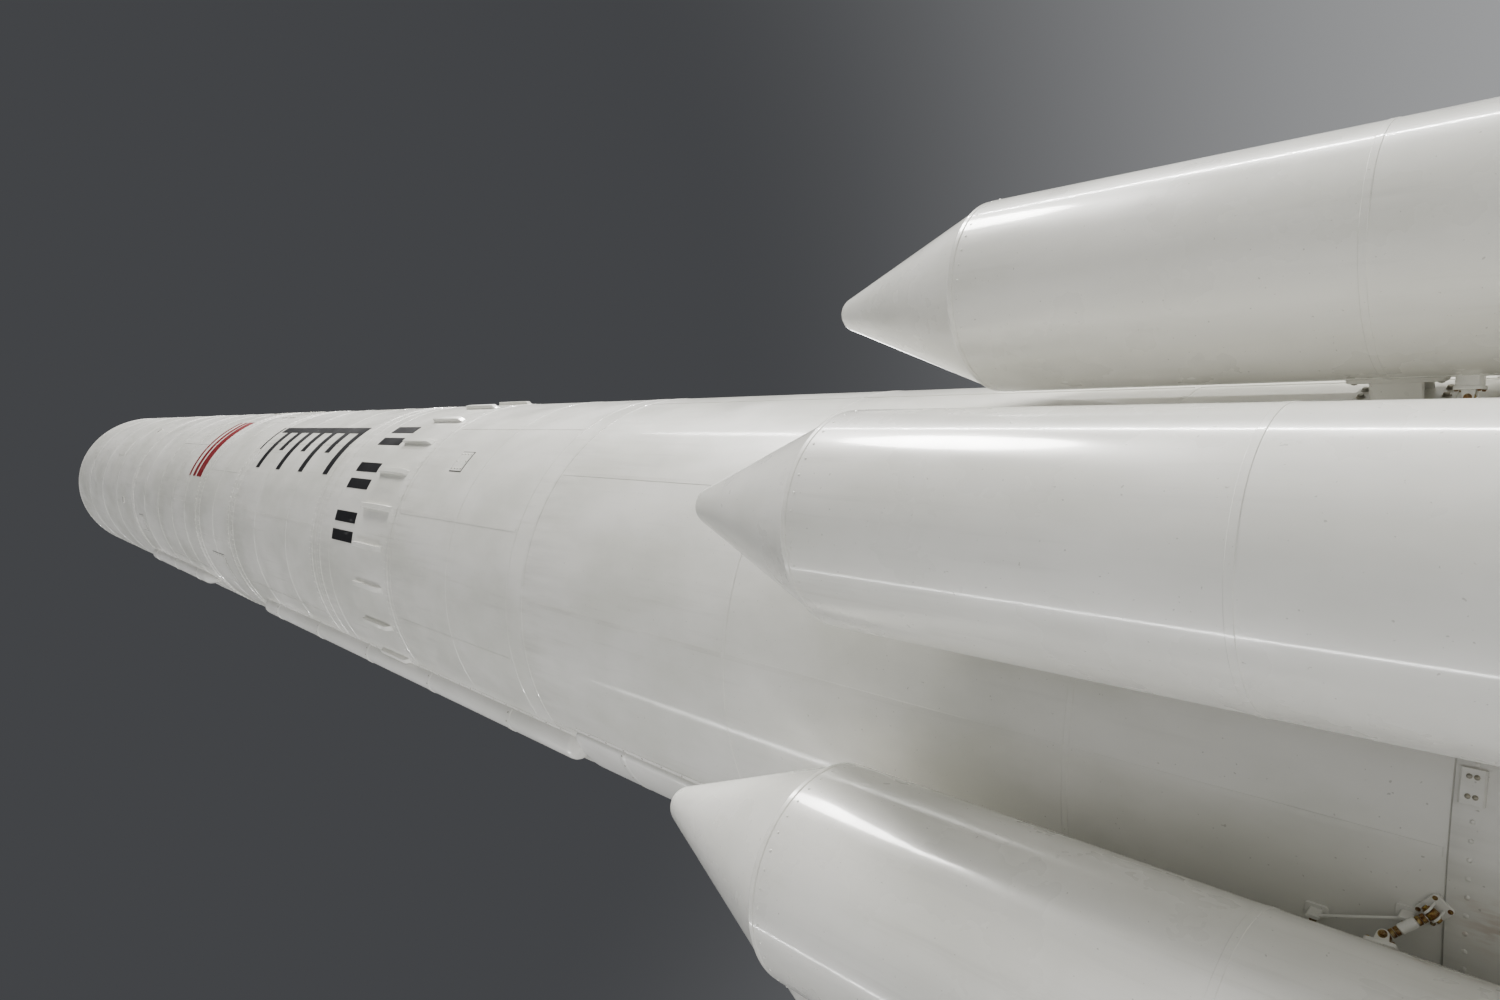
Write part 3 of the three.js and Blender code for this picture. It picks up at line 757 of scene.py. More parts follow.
def add_vernier_bracket(shape, side):
    """Two cheeks that hold a vernier's pins, on an arm from the skirt."""
    cheek = eye_plate(CHEEK["width"], VERNIER["height"], CHEEK["arm_high"], CHEEK["thickness"], GIMBAL["pin"])
    reach = CHEEK["gap"] + CHEEK["thickness"] / 2
    shape.add(cheek, BARE, [at(side * VERNIER["offset"] + offset, 0, 0) for offset in (-reach, reach)])
    near = VERNIER["offset"] - CHEEK["gap"] - CHEEK["thickness"]
    half = CHEEK["width"] / 2
    arm = box((side * near, -half, CHEEK["arm_low"]), (side * 1.200, half, CHEEK["arm_high"]), 0.004)
    shape.add(arm, BARE)
    wall = frame_of((side * SKIRT["inner"], 0, 0.66), (-side, 0, 0))
    shape.add(plate(0.16, 0.14, 0.015, -0.004, 0.010), BARE, [wall])
    corners = [wall @ at(across, up, 0.010) for across in (-0.06, 0.06) for up in (-0.05, 0.05)]
    shape.add(bolt(0.009, 0.012), HARDWARE, corners)


def add_thrust_beams(shape):
    """Two I-beams that cross under the deck, with stiffeners, bolts, ribs and a hub."""
    low = BEAM["bottom"]
    deck = SKIRT["deck"]
    reach = SKIRT["inner"] - 0.01
    half = BEAM["width"] / 2
    flange = BEAM["flange"]
    web = BEAM["web"] / 2
    beam = together(
        box((-reach, -half, low), (reach, half, low + flange), 0.002),
        box((-reach, -half, deck + 0.004 - flange), (reach, half, deck + 0.004), 0.002),
        box((-reach, -web, low + flange), (reach, web, deck + 0.004 - flange)),
    )
    shape.add(beam, INSIDE, [turned(0), turned(90)])
    shape.add(plate(0.30, 0.30, 0.03, low - 0.004, deck + 0.003, 0.006), INSIDE)
    rib = box((0.14, -0.008, deck - 0.06), (SKIRT["inner"], 0.008, deck + 0.003), 0.002)
    for quarter in (0, 90, 180, 270):
        for distance in (0.30, 0.55, 0.80, 1.05):
            stiffener = box((distance - 0.005, -0.056, low + 0.012), (distance + 0.005, 0.056, deck), 0.001)
            shape.add(stiffener, INSIDE, [turned(quarter)])
            for side in (-0.038, 0.038):
                spot = frame_of((distance + 0.06, side, low), (0, 0, -1), (1, 0, 0))
                shape.add(bolt(0.009, 0.012), HARDWARE, [turned(quarter) @ spot])
        shape.add(rib, INSIDE, [turned(quarter + turn) for turn in (22.5, 45.0, 67.5)])


def add_inside_of_skirt(shape):
    """Frames, stringers, the gimbal's fork and the lines under the deck."""
    inner = SKIRT["inner"]
    deck = SKIRT["deck"]
    for height in (0.36, 0.90, 1.30, 1.72):
        profile = rectangle(inner - 0.034, inner + 0.004, height - 0.012, height + 0.012)
        shape.add(lathe(profile, CORE_SIDES // 2, ring=True), INSIDE)
    stringer = box((inner - 0.026, -0.009, 0.07), (inner + 0.003, 0.009, deck + 0.003), 0.002)
    shape.add(stringer, INSIDE, [turned(10 * index + 5) for index in range(36)])
    add_thrust_beams(shape)
    ear = eye_plate(GIMBAL["width"], GIMBAL["height"], BEAM["bottom"] + 0.004, GIMBAL["ear"], GIMBAL["pin"])
    for side in (-1, 1):
        shape.add(ear, BARE, [at(side * (GIMBAL["inner"] + GIMBAL["ear"] / 2), 0, 0)])
        add_vernier_bracket(shape, side)
    for angle, radius, drop in LINES:
        start = deck - drop
        route = [(0.35, 0.10, deck + 0.01), (0.36, 0.10, start), (0.62, 0.13, start - 0.02)]
        route += [(0.95, 0.08, start), (1.10, 0.02, start - 0.12), (1.135, 0.0, 0.50), (1.135, 0.0, 0.12)]
        shape.add(tube(smooth_path(route), radius, 12), BARE, [turned(angle)])
        clamp = lathe(rectangle(radius, radius + 0.008, -0.012, 0.012), 16, ring=True)
        shape.add(clamp, HARDWARE, [turned(angle) @ at(1.135, 0, height) for height in (0.36, 0.90, 1.30)])


def make_engine_section():
    top = TOP["engine_section"]
    radius = SKIRT["radius"]
    inner = SKIRT["inner"]
    ring_top = BASE_RING["top"]
    ring_inner = BASE_RING["inner"]
    ring_outer = BASE_RING["outer"]
    outline = [
        (0, SKIRT["deck"]), (inner, SKIRT["deck"]), (inner, ring_top), (ring_inner, ring_top),
        (ring_inner, 0), (ring_outer, 0), (ring_outer, ring_top), (radius, ring_top), (radius, top), (0, top),
    ]
    shape = Shape()
    shape.add(lathe(divided(soften(outline, 0.004, 2), 0.08), CORE_SIDES))
    shape.repaint(INSIDE, lambda x, y, z: math.hypot(x, y) < inner + 0.001 and 0.07 < z < top - 0.03)
    for height in (0.10, 0.14, 1.62, 1.66, 1.935):
        shape.add(dome(0.006, 0.003, 6), PAINT, ring_of(radius, height, CORE_SIDES, 1.0))
    for height in (0.62, 1.14):
        shape.add(hoop(radius - 0.004, height, 0.005, 0.05, CORE_SIDES))
    for distance, count, first in ((1.2415, 72, 2.5), (1.168, 60, 3.0)):
        shape.add(bolt(0.008, 0.012), HARDWARE, ring_above(distance, ring_top, count, first))
    for index in range(BOOSTER_COUNT):
        between = -90 + BOOSTER_STEP * (index + 0.5)
        add_cover(shape, radius, between, 1.38, 0.30, 0.392 if index % 3 else 0.280, (4, 5))
        shape.add(strip(radius, between, 0.16, 1.10, 0.030, 0.003))
    add_cover(shape, radius, -105.4, 1.940, 0.080, 0.050, (2, 2), 0.009, gasket=False)
    add_inside_of_skirt(shape)
    marks = {"grime": skirt_grime, "rust": rust_at}
    shape.piece("engine_section_skin", CORE_FINISHES, ["engine_section"], marks=marks)


# Raceways: half-round covers in two lengths, and a wide flat cover below

RACEWAY_ANGLE = -155.7
RACEWAY = {"half": 0.088, "end": 0.026, "flatness": 1.0}
FLAT_COVER = {"half": 0.155, "end": 0.065, "flatness": 0.258}
FLAT_LENGTH = (2.380, 5.960, 0.090, 0.090)
RACEWAYS = {"lower": (5.930, 11.880, 0.040, 0.200), "upper": (13.800, 17.250, 0.360, 0.170)}
COVER_LENGTH = 1.15


def cover_ring(half, flatness, height):
    """Half an ellipse that bulges from the skin, with its foot inside the skin."""
    arch = [(CORE_RADIUS + out * flatness, across, height) for out, across in arc(0, 0, half, -90, 90, 28)]
    sunk = CORE_RADIUS - 0.02
    return [(sunk, -half, height)] + arch + [(sunk, half, height)]


def width_at(outline, height):
    for (near, low), (far, high) in zip(outline, outline[1:]):
        if low <= height <= high:
            return near + (far - near) * (height - low) / max(high - low, 1e-9)
    return outline[-1][0]


def add_cover_length(shape, kind, low, high, low_bevel, high_bevel):
    """A length of cover: its skin, the straps over its joints, and a flange with screws along each foot."""
    flatness = kind["flatness"]
    size = kind["half"]
    outline = [(kind["end"], low), (size, low + low_bevel), (size, high - high_bevel), (kind["end"], high)]
    outline = soften(outline, 0.030, 4)
    shape.add(skin_of([cover_ring(half, flatness, height) for half, height in divided(outline, 0.5)]))
    joints = list(np.arange(low + 0.75, high - 0.4, COVER_LENGTH))
    for height in joints:
        steps = ((0.0, -0.028), (0.003, -0.025), (0.003, 0.025), (0.0, 0.028))
        shape.add(skin_of([cover_ring(size + proud, flatness, height + rise) for proud, rise in steps]))
        for x, y in arc(0, 0, 1, -70, 70, 5):
            spot = (CORE_RADIUS + (size + 0.003) * flatness * x, (size + 0.003) * y, height)
            shape.add(dome(0.006, 0.003), HARDWARE, [frame_of(spot, (x, flatness * y, 0))])
    for edge in (-1, 1):
        for height in np.arange(low + 0.16, high - 0.14, 0.16):
            foot = edge * math.degrees((width_at(outline, height) + 0.014) / CORE_RADIUS)
            shape.add(dome(0.005, 0.003, 6), HARDWARE, [on_round(CORE_RADIUS + 0.0025, foot, height)])
        for base, tip in zip([low + low_bevel] + joints, joints + [high - high_bevel]):
            foot = edge * math.degrees((width_at(outline, (base + tip) / 2) + 0.010) / CORE_RADIUS)
            shape.add(strip(CORE_RADIUS, foot, base + 0.002, tip - 0.002, 0.036, 0.0025))


def make_raceway(level, side, turn):
    shape = Shape()
    add_cover_length(shape, RACEWAY, *RACEWAYS[level])
    if level == "lower":
        add_cover_length(shape, FLAT_COVER, *FLAT_LENGTH)
    low = RACEWAYS[level][0]
    marks = {"grime": lambda x, y, z: 0.35 * math.exp(-abs(z - low) / 0.5)}
    name = f"raceway_{level}_{side}"
    finishes = [COVER_PAINT, ZINC, SEALANT_AND_SHADE, STEEL]
    place = turned(RACEWAY_ANGLE + turn)
    shape.piece(name + "_cover", finishes, [name], "cover_paint", marks=marks, place=place)


# Markings: plain bars and stripes, a little over the paint

MARK_PROUD = 0.0024
ROLL_MARKS = {"low": 8.72, "high": 9.14, "width": 0.085, "gap": 0.15, "angles": (-103.5, -83.5, -63.5)}
SCALE_MARKS = {"edge": -58.5, "line": 0.085, "low": 9.72, "step": 0.325, "count": 8, "tall": 0.110}
SCALE_WIDTHS = (0.56, 0.34)
RED_STRIPES = {"angle": -73.0, "width": 0.88, "rows": ((13.66, 13.86), (13.93, 14.03), (14.15, 14.21))}


def make_markings():
    """Pairs of black roll bars over the blocks, a black height scale above them, and red stripes."""
    shape = Shape()

    def mark(angle, shift, low, high, width, finish=0):
        columns = max(3, round(width / 0.03))
        for turn in (0, 180):
            middle = angle + math.degrees(shift / CORE_RADIUS) + turn
            shape.add(strip(CORE_RADIUS, middle, low, high, width, MARK_PROUD, 0.002, columns), finish)

    roll = ROLL_MARKS
    for angle in roll["angles"]:
        for side in (-1, 1):
            mark(angle, side * roll["gap"] / 2, roll["low"], roll["high"], roll["width"])
    edge = SCALE_MARKS["edge"]
    line = SCALE_MARKS["line"]
    tall = SCALE_MARKS["tall"]
    lows = [SCALE_MARKS["low"] + SCALE_MARKS["step"] * index for index in range(SCALE_MARKS["count"])]
    mark(edge, -line / 2, lows[0], lows[-1] + tall, line)
    for index, low in enumerate(lows):
        width = SCALE_WIDTHS[index % 2] - line
        mark(edge, -line - width / 2, low, low + tall, width)
    for low, high in RED_STRIPES["rows"]:
        mark(RED_STRIPES["angle"], 0, low, high, RED_STRIPES["width"], 1)
    shape.piece("painted_marks", [BLACK_MARK, RED_MARK])


# Fairing

FAIRING_BASE = 17.306
FAIRING = {"shoulder": 22.340, "cone": 20.0, "tip": 0.300, "wall": 0.040, "skin": 0.012, "split": 0.006}
FRAME_HEIGHTS = (17.36, 18.20, 19.04, 19.88, 20.72, 21.56, 22.26)


def fairing_wall(depth):
    """The fairing's outline at a depth under its outer face, from the base to the axis."""
    angle = math.radians(FAIRING["cone"])
    tip = FAIRING["tip"]
    along = (CORE_RADIUS - tip * math.cos(angle)) / math.tan(angle)
    centre = FAIRING["shoulder"] + along - tip * math.sin(angle)
    shoulder = FAIRING["shoulder"] - depth * math.tan(angle / 2)
    straight = [(CORE_RADIUS - depth, FAIRING_BASE), (CORE_RADIUS - depth, shoulder)]
    return straight + arc(0, centre, tip - depth, FAIRING["cone"], 90, 14)


def add_fairing_details(shape, middle):
    """An access door and two vents on each half."""
    door = middle + 12
    for place in [on_round(CORE_RADIUS, middle + offset, 17.95) for offset in (-28, 28)]:
        shape.add(plate(0.10, 0.05, 0.02, -0.004, 0.006, steps=4), 0, [place])
        # Each vent's slots are dark raised strips of the sealant finish: painted shade where the openings
        # would be.
        for slot in (-0.012, 0.0, 0.012):
            shape.add(box((-0.036, slot - 0.0022, 0.004), (0.036, slot + 0.0022, 0.0075)), 3, [place])
    shape.add(strip(CORE_RADIUS, door, 18.75, 19.20, 0.36, 0.003, steps=10))
    for offset in (-0.16, 0.0, 0.16):
        turn = door + math.degrees(offset / CORE_RADIUS)
        heads = [on_round(CORE_RADIUS + 0.003, turn, height) for height in (18.77, 19.18)]
        shape.add(dome(0.006, 0.003), 2, heads)


def make_fairing_half(title, side):
    """One half: skin, frames, ribs, edge strips and hinge. The side is -1 at the front, 1 at the rear."""
    start = 0 if side > 0 else 180
    sides = CORE_SIDES // 2
    edge = FAIRING["split"] / 2
    base = FAIRING_BASE
    shoulder = FAIRING["shoulder"]
    reach = CORE_RADIUS - FAIRING["skin"]
    deep = CORE_RADIUS - FAIRING["wall"]
    shape = Shape()

    def add_half_ring(profile, finish, ring):
        points, faces = lathe(profile, sides, start, 180, ring=ring)
        shape.add(([(x, side * max(side * y, edge), z) for x, y, z in points], faces), finish)

    wall = fairing_wall(0)
    straight = wall_points(base, shoulder)[:-1]
    outer = straight + soften([straight[-1]] + wall[1:4], 0.05, 5)[1:-2] + divided(wall[2:], 0.3)
    add_half_ring(fairing_wall(FAIRING["skin"])[::-1] + divided(outer, SKIN_STEP), 0, False)
    for height in FRAME_HEIGHTS:
        add_half_ring(rectangle(deep, reach + 0.004, height - 0.02, height + 0.02), 1, True)
    rib = box((deep + 0.004, -0.011, base + 0.01), (reach + 0.004, 0.011, shoulder - 0.04), 0.002)
    shape.add(rib, 1, [turned(start + 7.5 + 15 * index) for index in range(12)])
    for end in (-1, 1):
        near = (end * (deep - 0.004), side * edge, base + 0.01)
        shape.add(box(near, (end * (reach - 0.002), side * 0.045, shoulder - 0.03), 0.002), 1)
        angle = (0 if end > 0 else 180) + side * end * math.degrees(0.030 / CORE_RADIUS)
        shape.add(strip(CORE_RADIUS, angle, base + 0.02, shoulder - 0.06, 0.040, 0.003))
        heads = [on_round(CORE_RADIUS + 0.003, angle, 17.45 + 0.22 * step) for step in range(22)]
        shape.add(bolt(0.007, 0.006), 2, heads)
    hinge = box((-0.08, 0.0, TOP["second_stage"] + SEAT_GAP), (0.08, 0.030, base + 0.06), 0.003)
    shape.add(hinge, 1, [turned(start) @ at(0, deep + 0.003, 0)])
    add_fairing_details(shape, 90 * side)
    name = "fairing_half_" + title
    finishes = [CORE_PAINT, GREEN_PRIMER, ZINC, SEALANT_AND_SHADE]
    shape.piece(name + "_shell", finishes, [name], body="fairing_" + title, marks={"grime": grime_at})


# Third stage, inside the fairing

MOTOR = {"radius": 0.670, "bottom": 17.5503, "top": 19.8903, "edge": 0.120}


def make_third_stage():
    radius = MOTOR["radius"]
    low = MOTOR["bottom"]
    high = MOTOR["top"]
    waist = radius - 0.02
    outline = [
        (0, low), (radius - MOTOR["edge"], low), (waist, low + MOTOR["edge"]), (waist, low + 0.36),
        (radius, low + 0.37), (radius, low + 0.43), (waist, low + 0.44), (waist, high - 0.52),
        (radius, high - 0.51), (radius, high - 0.06), (radius - 0.008, high - 0.055),
        (radius - 0.008, high), (0, high),
    ]
    shape = Shape()
    shape.add(lathe(divided(soften(outline, 0.015), 0.2), 120))
    for height in (low + 0.80, low + 1.25, high - 0.58):
        shape.add(hoop(radius - 0.024, height, 0.006, 0.030, 120), 1)
    shape.add(bolt(0.008, 0.009), 2, ring_of(radius, low + 0.40, 40))
    shape.add(bolt(0.007, 0.008), 2, ring_of(radius, high - 0.48, 40, 4.5) + ring_of(radius, high - 0.09, 40))
    for index in range(8):
        tall, finish = (0.26, 3) if index % 2 else (0.20, 1)
        unit = plate(0.20, tall, 0.014, -0.01, 0.012, 0.004)
        shape.add(unit, finish, [on_round(radius, -140 + 45 * index, high - 0.28)])
    heights = (low + 0.44, low + 1.0, high - 0.53)
    for angle in (-70, 110):
        path = [on_round(radius - 0.008, angle, height).translation for height in heights]
        shape.add(tube(path, 0.014, 10), 4)
    finishes = [MOTOR_PAINT, STEEL, ZINC, COPPER_FOIL, SEALANT_AND_SHADE]
    shape.piece("third_stage_motor_case", finishes, ["third_stage_motor"], "motor_paint")


def make_payload_adapter():
    low = MOTOR["top"] + SEAT_GAP
    high = low + 0.300
    outline = [
        (0, low), (0.670, low), (0.670, low + 0.014), (0.652, low + 0.018), (0.488, high - 0.030),
        (0.492, high - 0.026), (0.492, high - 0.012), (0.480, high), (0, high),
    ]
    shape = Shape()
    shape.add(lathe(soften(outline, 0.004, 2), 120))
    shape.add(bolt(0.007, 0.009), 1, ring_above(0.661, low + 0.014, 40))
    shape.add(bolt(0.006, 0.008), 1, ring_above(0.440, high, 36))
    slope = math.degrees(math.atan2(0.652 - 0.488, 0.252))
    pad = plate(0.10, 0.15, 0.03, -0.004, 0.004, 0.001, 4)
    for angle in np.arange(16) * 22.5:
        middle = direction(angle) * 0.571 + Vector((0, 0, low + 0.142))
        shape.add(pad, 2, [frame_of(middle, direction(angle, slope))])
    shape.piece("payload_adapter_cone", [MOTOR_PAINT, ZINC, STEEL], ["payload_adapter"], "motor_paint")


# Boosters: each is made at the front and turned to its place

BOOSTER = Vector((0, -BOOSTER_CIRCLE, 0))
STRUTS = [(2.070, 1.992), (0.760, 0.660)]
STRUT_SIDE = 0.150
STRUT_RADIUS = 0.0125
LUG_SCALE = 0.66
LUG_EYE = 0.036
PEDESTAL = 0.033
THRUST_FITTING = {"low": 2.190, "high": 2.320, "width": 0.150}
THRUST_FOOT = {"width": 0.160, "height": 0.250, "across": (-0.055, 0.0, 0.055), "up": (-0.105, 0.105)}
TIE_ROD = {"feet": ((6.0, 2.228), (9.3, 2.040)), "stand": 0.034, "radius": 0.004}
NOZZLE = {"throat": 0.085, "neck": 0.110, "exit": 0.195, "length": 0.470, "wall": 0.012, "cant": 8.0}


def booster_grime(x, y, z):
    return max(0.5 * math.exp(-abs(BOOSTER_TOP - z) / 0.02), 0.7 * math.exp(-(z - BOOSTER_BOTTOM) / 0.25))


def lug_part():
    """A foot plate with two lugs. Its Z axis leaves the skin, and the pin lies along X."""
    foot = plate(0.078, 0.100, 0.012, -0.010, 0.006)
    outline = [(0.026, 0.0), (0.020, 0.034)] + arc(0, LUG_EYE, 0.020, 11.46, 168.54, 9)
    outline += [(-0.020, 0.034), (-0.026, 0.0)]
    lugs = [moved(prism(outline, side - 0.004, side + 0.004, 0.001), STAND) for side in (-0.017, 0.017)]
    return together(foot, *lugs)


def lug_hardware():
    """The lugs' bolted pin, and the foot's four bolts."""
    pin = moved(rod(0.008, -0.026, 0.026, 12), frame_of((0, 0, LUG_EYE), (1, 0, 0)))
    ends = [frame_of((side * 0.021, 0, LUG_EYE), (side, 0, 0)) for side in (-1, 1)]
    heads = [moved(bolt(0.011, 0.010), end) for end in ends]
    corners = [moved(bolt(0.006, 0.006), at(x, y, 0.006)) for x in (-0.028, 0.028) for y in (-0.038, 0.038)]
    return together(pin, *heads, *corners)


def add_strut(shape, start, start_out, end, end_out):
    """A strut between two lugs, with an eye at each end. The lugs at its start stand on a pedestal."""
    heading = (end - start).normalized()
    ring = lathe(soften(rectangle(0.009, 0.021, -0.011, 0.011), 0.003, 2, True), 20, ring=True)
    small = Matrix.Scale(LUG_SCALE, 4)
    eyes = []
    for foot, out, toward, raised in ((start, start_out, heading, PEDESTAL), (end, end_out, -heading, 0.0)):
        pin = out.cross(toward).normalized()
        place = frame_of(foot + out * raised, out, out.cross(pin))
        if raised:
            shape.add(plate(0.046, 0.058, 0.008, -raised - 0.02, 0.0), PAINT, [place])
        shape.add(lug_part(), PAINT, [place @ small])
        shape.add(lug_hardware(), RUSTED, [place @ small])
        eyes.append(place @ Vector((0, 0, LUG_EYE * LUG_SCALE)))
        shape.add(ring, RUSTED, [frame_of(eyes[-1], pin) @ small])
    along = (eyes[1] - eyes[0]).normalized()
    length = (eyes[1] - eyes[0]).length
    ends = [(0.010, 0.006), (0.034, 0.006), (0.038, STRUT_RADIUS), (0.050, STRUT_RADIUS)]
    stations = ends + [(length - step, size) for step, size in reversed(ends)]
    path = [eyes[0] + along * step for step, size in stations]
    shape.add(tube(path, [size for step, size in stations], 16))
    nut = prism(circle(0.0105, 6), -0.005, 0.005, 0.001)
    for step in (0.020, 0.031, length - 0.031, length - 0.020):
        shape.add(nut, RUSTED, [frame_of(eyes[0] + along * step, along, (1, 0, 0.1))])


def add_struts(shape):
    """A booster's two pairs of struts, from its skin to the skirt."""
    depth = math.sqrt(BOOSTER_RADIUS ** 2 - STRUT_SIDE ** 2)
    for booster_height, core_height in STRUTS:
        for side in (-1, 1):
            start_out = Vector((side * STRUT_SIDE, depth, 0))
            start = BOOSTER + start_out + Vector((0, 0, booster_height))
            angle = -90 + side * STRUT_SPREAD
            end = on_round(SKIRT["radius"], angle, core_height).translation
            add_strut(shape, start, start_out.normalized(), end, direction(angle))


def add_thrust_fitting(shape):
    """The bracket that passes a booster's thrust to the core, bolted on both skins."""
    low = THRUST_FITTING["low"]
    high = THRUST_FITTING["high"]
    half = THRUST_FITTING["width"] / 2
    near = -BOOSTER_CIRCLE + BOOSTER_RADIUS
    far = -CORE_RADIUS
    shape.add(box((-half + 0.02, near - 0.02, low + 0.02), (half - 0.02, far + 0.02, high - 0.02), 0.006))
    for side in (-1, 1):
        shape.add(box((side * half, near - 0.03, low), (side * (half - 0.014), far + 0.03, high), 0.003))
    for y, out in ((near + 0.001, 1), (far - 0.001, -1)):
        foot = frame_of((0, y, (low + high) / 2), (0, out, 0))
        shape.add(plate(THRUST_FOOT["width"], THRUST_FOOT["height"], 0.016, -0.022, 0.007), PAINT, [foot])
        heads = [foot @ at(across, up, 0.007) for across in THRUST_FOOT["across"] for up in THRUST_FOOT["up"]]
        shape.add(bolt(0.009, 0.010), HARDWARE, heads)


def add_tie_rods(shape):
    """Two thin rods on the core's skin, each between two small brackets."""
    stand = TIE_ROD["stand"]
    for side in (-1, 1):
        feet = [on_round(CORE_RADIUS, -90 + side * angle, height) for angle, height in TIE_ROD["feet"]]
        for foot in feet:
            shape.add(plate(0.030, 0.052, 0.006, -0.006, 0.005, 0.001), PAINT, [foot])
            shape.add(plate(0.010, 0.030, 0.004, 0.004, stand + 0.008, 0.001), PAINT, [foot])
            pin = foot @ Vector((-0.010, 0, stand))
            shape.add(bolt(0.006, 0.009), RUSTED, [frame_of(pin, foot.to_3x3() @ Vector((-1, 0, 0)))])
        shape.add(tube([foot @ Vector((0, 0, stand)) for foot in feet], TIE_ROD["radius"], 10), PAINT)


def booster_case_shape():
    radius = BOOSTER_RADIUS
    bottom = BOOSTER_BOTTOM
    top = BOOSTER_TOP
    proud = radius + 0.007
    dish = bottom + 0.030
    outline = [(0, dish), (0.150, dish), (0.165, dish - 0.012), (0.190, dish - 0.012), (0.300, dish - 0.004)]
    outline += [(0.322, dish - 0.004), (0.322, bottom), (proud, bottom), (proud, 0.800), (radius, 0.804)]
    for height in (1.050, 2.252):
        outline += [(radius, height - 0.010), (radius + 0.0014, height - 0.0085)]
        outline += [(radius + 0.0014, height + 0.0085), (radius, height + 0.010)]
    outline += [(radius, top - 0.003), (radius - 0.003, top), (0, top)]
    middle = Matrix.Translation(BOOSTER)
    shape = Shape()
    shape.add(lathe(divided(outline, 0.15), BOOSTER_SIDES), PAINT, [middle])
    shape.repaint(SEAL, lambda x, y, z: math.hypot(x, y + BOOSTER_CIRCLE) < 0.30 and z < dish + 0.001)
    rib = box((0.195, -0.004, dish - 0.018), (0.320, 0.004, dish + 0.004), 0.001)
    shape.add(strip(radius, 118.0, 0.82, top - 0.012, 0.016, 0.0012), PAINT, [middle])
    for part, finish, places in (
        (rib, SEAL, [turned(15 * step) for step in range(24)]),
        (bolt(0.006, 0.006), HARDWARE, ring_above(0.340, bottom, 36, down=True)),
        (bolt(0.006, 0.005), HARDWARE, ring_of(proud, 0.775, 36) + ring_of(proud, 0.645, 36)),
        (dome(0.0042, 0.0022), PAINT, ring_of(radius, top - 0.022, 40)),
    ):
        shape.add(part, finish, [middle @ place for place in places])
    add_thrust_fitting(shape)
    add_struts(shape)
    add_tie_rods(shape)
    return shape


def booster_nose_shape():
    """The conical nose with its round tip, and a seam at its foot."""
    radius = BOOSTER_RADIUS
    tip = 0.075
    height = 4.186 - BOOSTER_TOP - SEAT_GAP
    cone = math.degrees(math.acos(tip / math.hypot(radius, height)) - math.atan2(height, radius))
    cap = arc(0, height, tip, cone, 90, 14)
    slope = (cap[0][0] - radius) / cap[0][1]
    base = [(0, 0), (radius - 0.004, 0), (radius - 0.001, 0.004), (radius - 0.001, 0.018)]
    base += [(radius + slope * rise, rise) for rise in (0.030, 0.032)]
    shape = Shape()
    outline = base + divided([base[-1], cap[0]], 0.1)[1:] + cap[1:]
    middle = Matrix.Translation(BOOSTER + Vector((0, 0, BOOSTER_TOP + SEAT_GAP)))
    shape.add(lathe(outline, BOOSTER_SIDES), PAINT, [middle])
    return shape


def booster_nozzle_shape():
    """The canted nozzle: a neck with a bolted ring, and a flared bell that is open below."""
    throat_height = -0.3 * NOZZLE["length"]
    neck_radius = NOZZLE["neck"]
    flare = NOZZLE["exit"] - NOZZLE["throat"]
    bell = [
        (NOZZLE["throat"] + flare * (0.72 * share + 0.28 * share ** 0.5), throat_height * (1 + share * 7 / 3))
        for share in np.linspace(0, 1, 9)
    ]
    exit_radius, exit_height = bell[-1]
    inside = [(0, throat_height + 0.06), (0.045, throat_height + 0.05), (0.060, throat_height)]
    inside += [(radius - NOZZLE["wall"], height) for radius, height in bell[1:]]
    lip = exit_radius + 0.006
    outside = [(lip, exit_height), (lip, exit_height + 0.018)] + bell[::-1][1:]
    flange = [(0.150, -0.050), (0.150, -0.022)]
    neck = [(neck_radius, -0.060)] + flange + [(neck_radius, -0.018), (neck_radius, 0.035)]
    shape = Shape()
    shape.add(lathe(soften(inside + outside + neck + [(0, 0.035)], 0.004, 2), 64))
    shape.add(bolt(0.008, 0.010), 1, ring_above(0.132, -0.050, 18, down=True))
    shape.add(hoop(0.150, -0.30, 0.006, 0.024, 64))
    return shape


def make_boosters():
    cant = at(0, -BOOSTER_CIRCLE, BOOSTER_BOTTOM) @ turned(-NOZZLE["cant"], "X")
    marks = {"grime": booster_grime}
    kinds = [
        ("case", booster_case_shape(), BOOSTER_FINISHES, "booster_paint", marks, HERE),
        ("nose", booster_nose_shape(), BOOSTER_FINISHES, "booster_paint", marks, HERE),
        ("nozzle", booster_nozzle_shape(), [DARK_NOZZLE, ZINC], "nozzle_dark", None, cant),
    ]
    for index in range(BOOSTER_COUNT):
        for title, shape, finishes, slot, grime, place in kinds:
            name = f"booster_{title}_{index + 1}"
            spot = turned(BOOSTER_STEP * index) @ place
            shape.piece(name + "_skin", finishes, [name], slot, marks=grime, place=spot)


# Engines

BELL = {"throat": 0.125, "top": 1.120, "exit": 0.520, "low": 0.200, "wall": 0.012}
BELL_TUBES = {"count": 132, "flute": 0.0045}
ENGINE = {"head": 1.555, "chamber": 0.190, "chamber_bottom": 1.290}
PUMP_OFFSET = 0.345


def bell_radius(share):
    return BELL["throat"] + (BELL["exit"] - BELL["throat"]) * share ** 0.62


def bell_height(share):
    return BELL["top"] - (BELL["top"] - BELL["low"]) * share


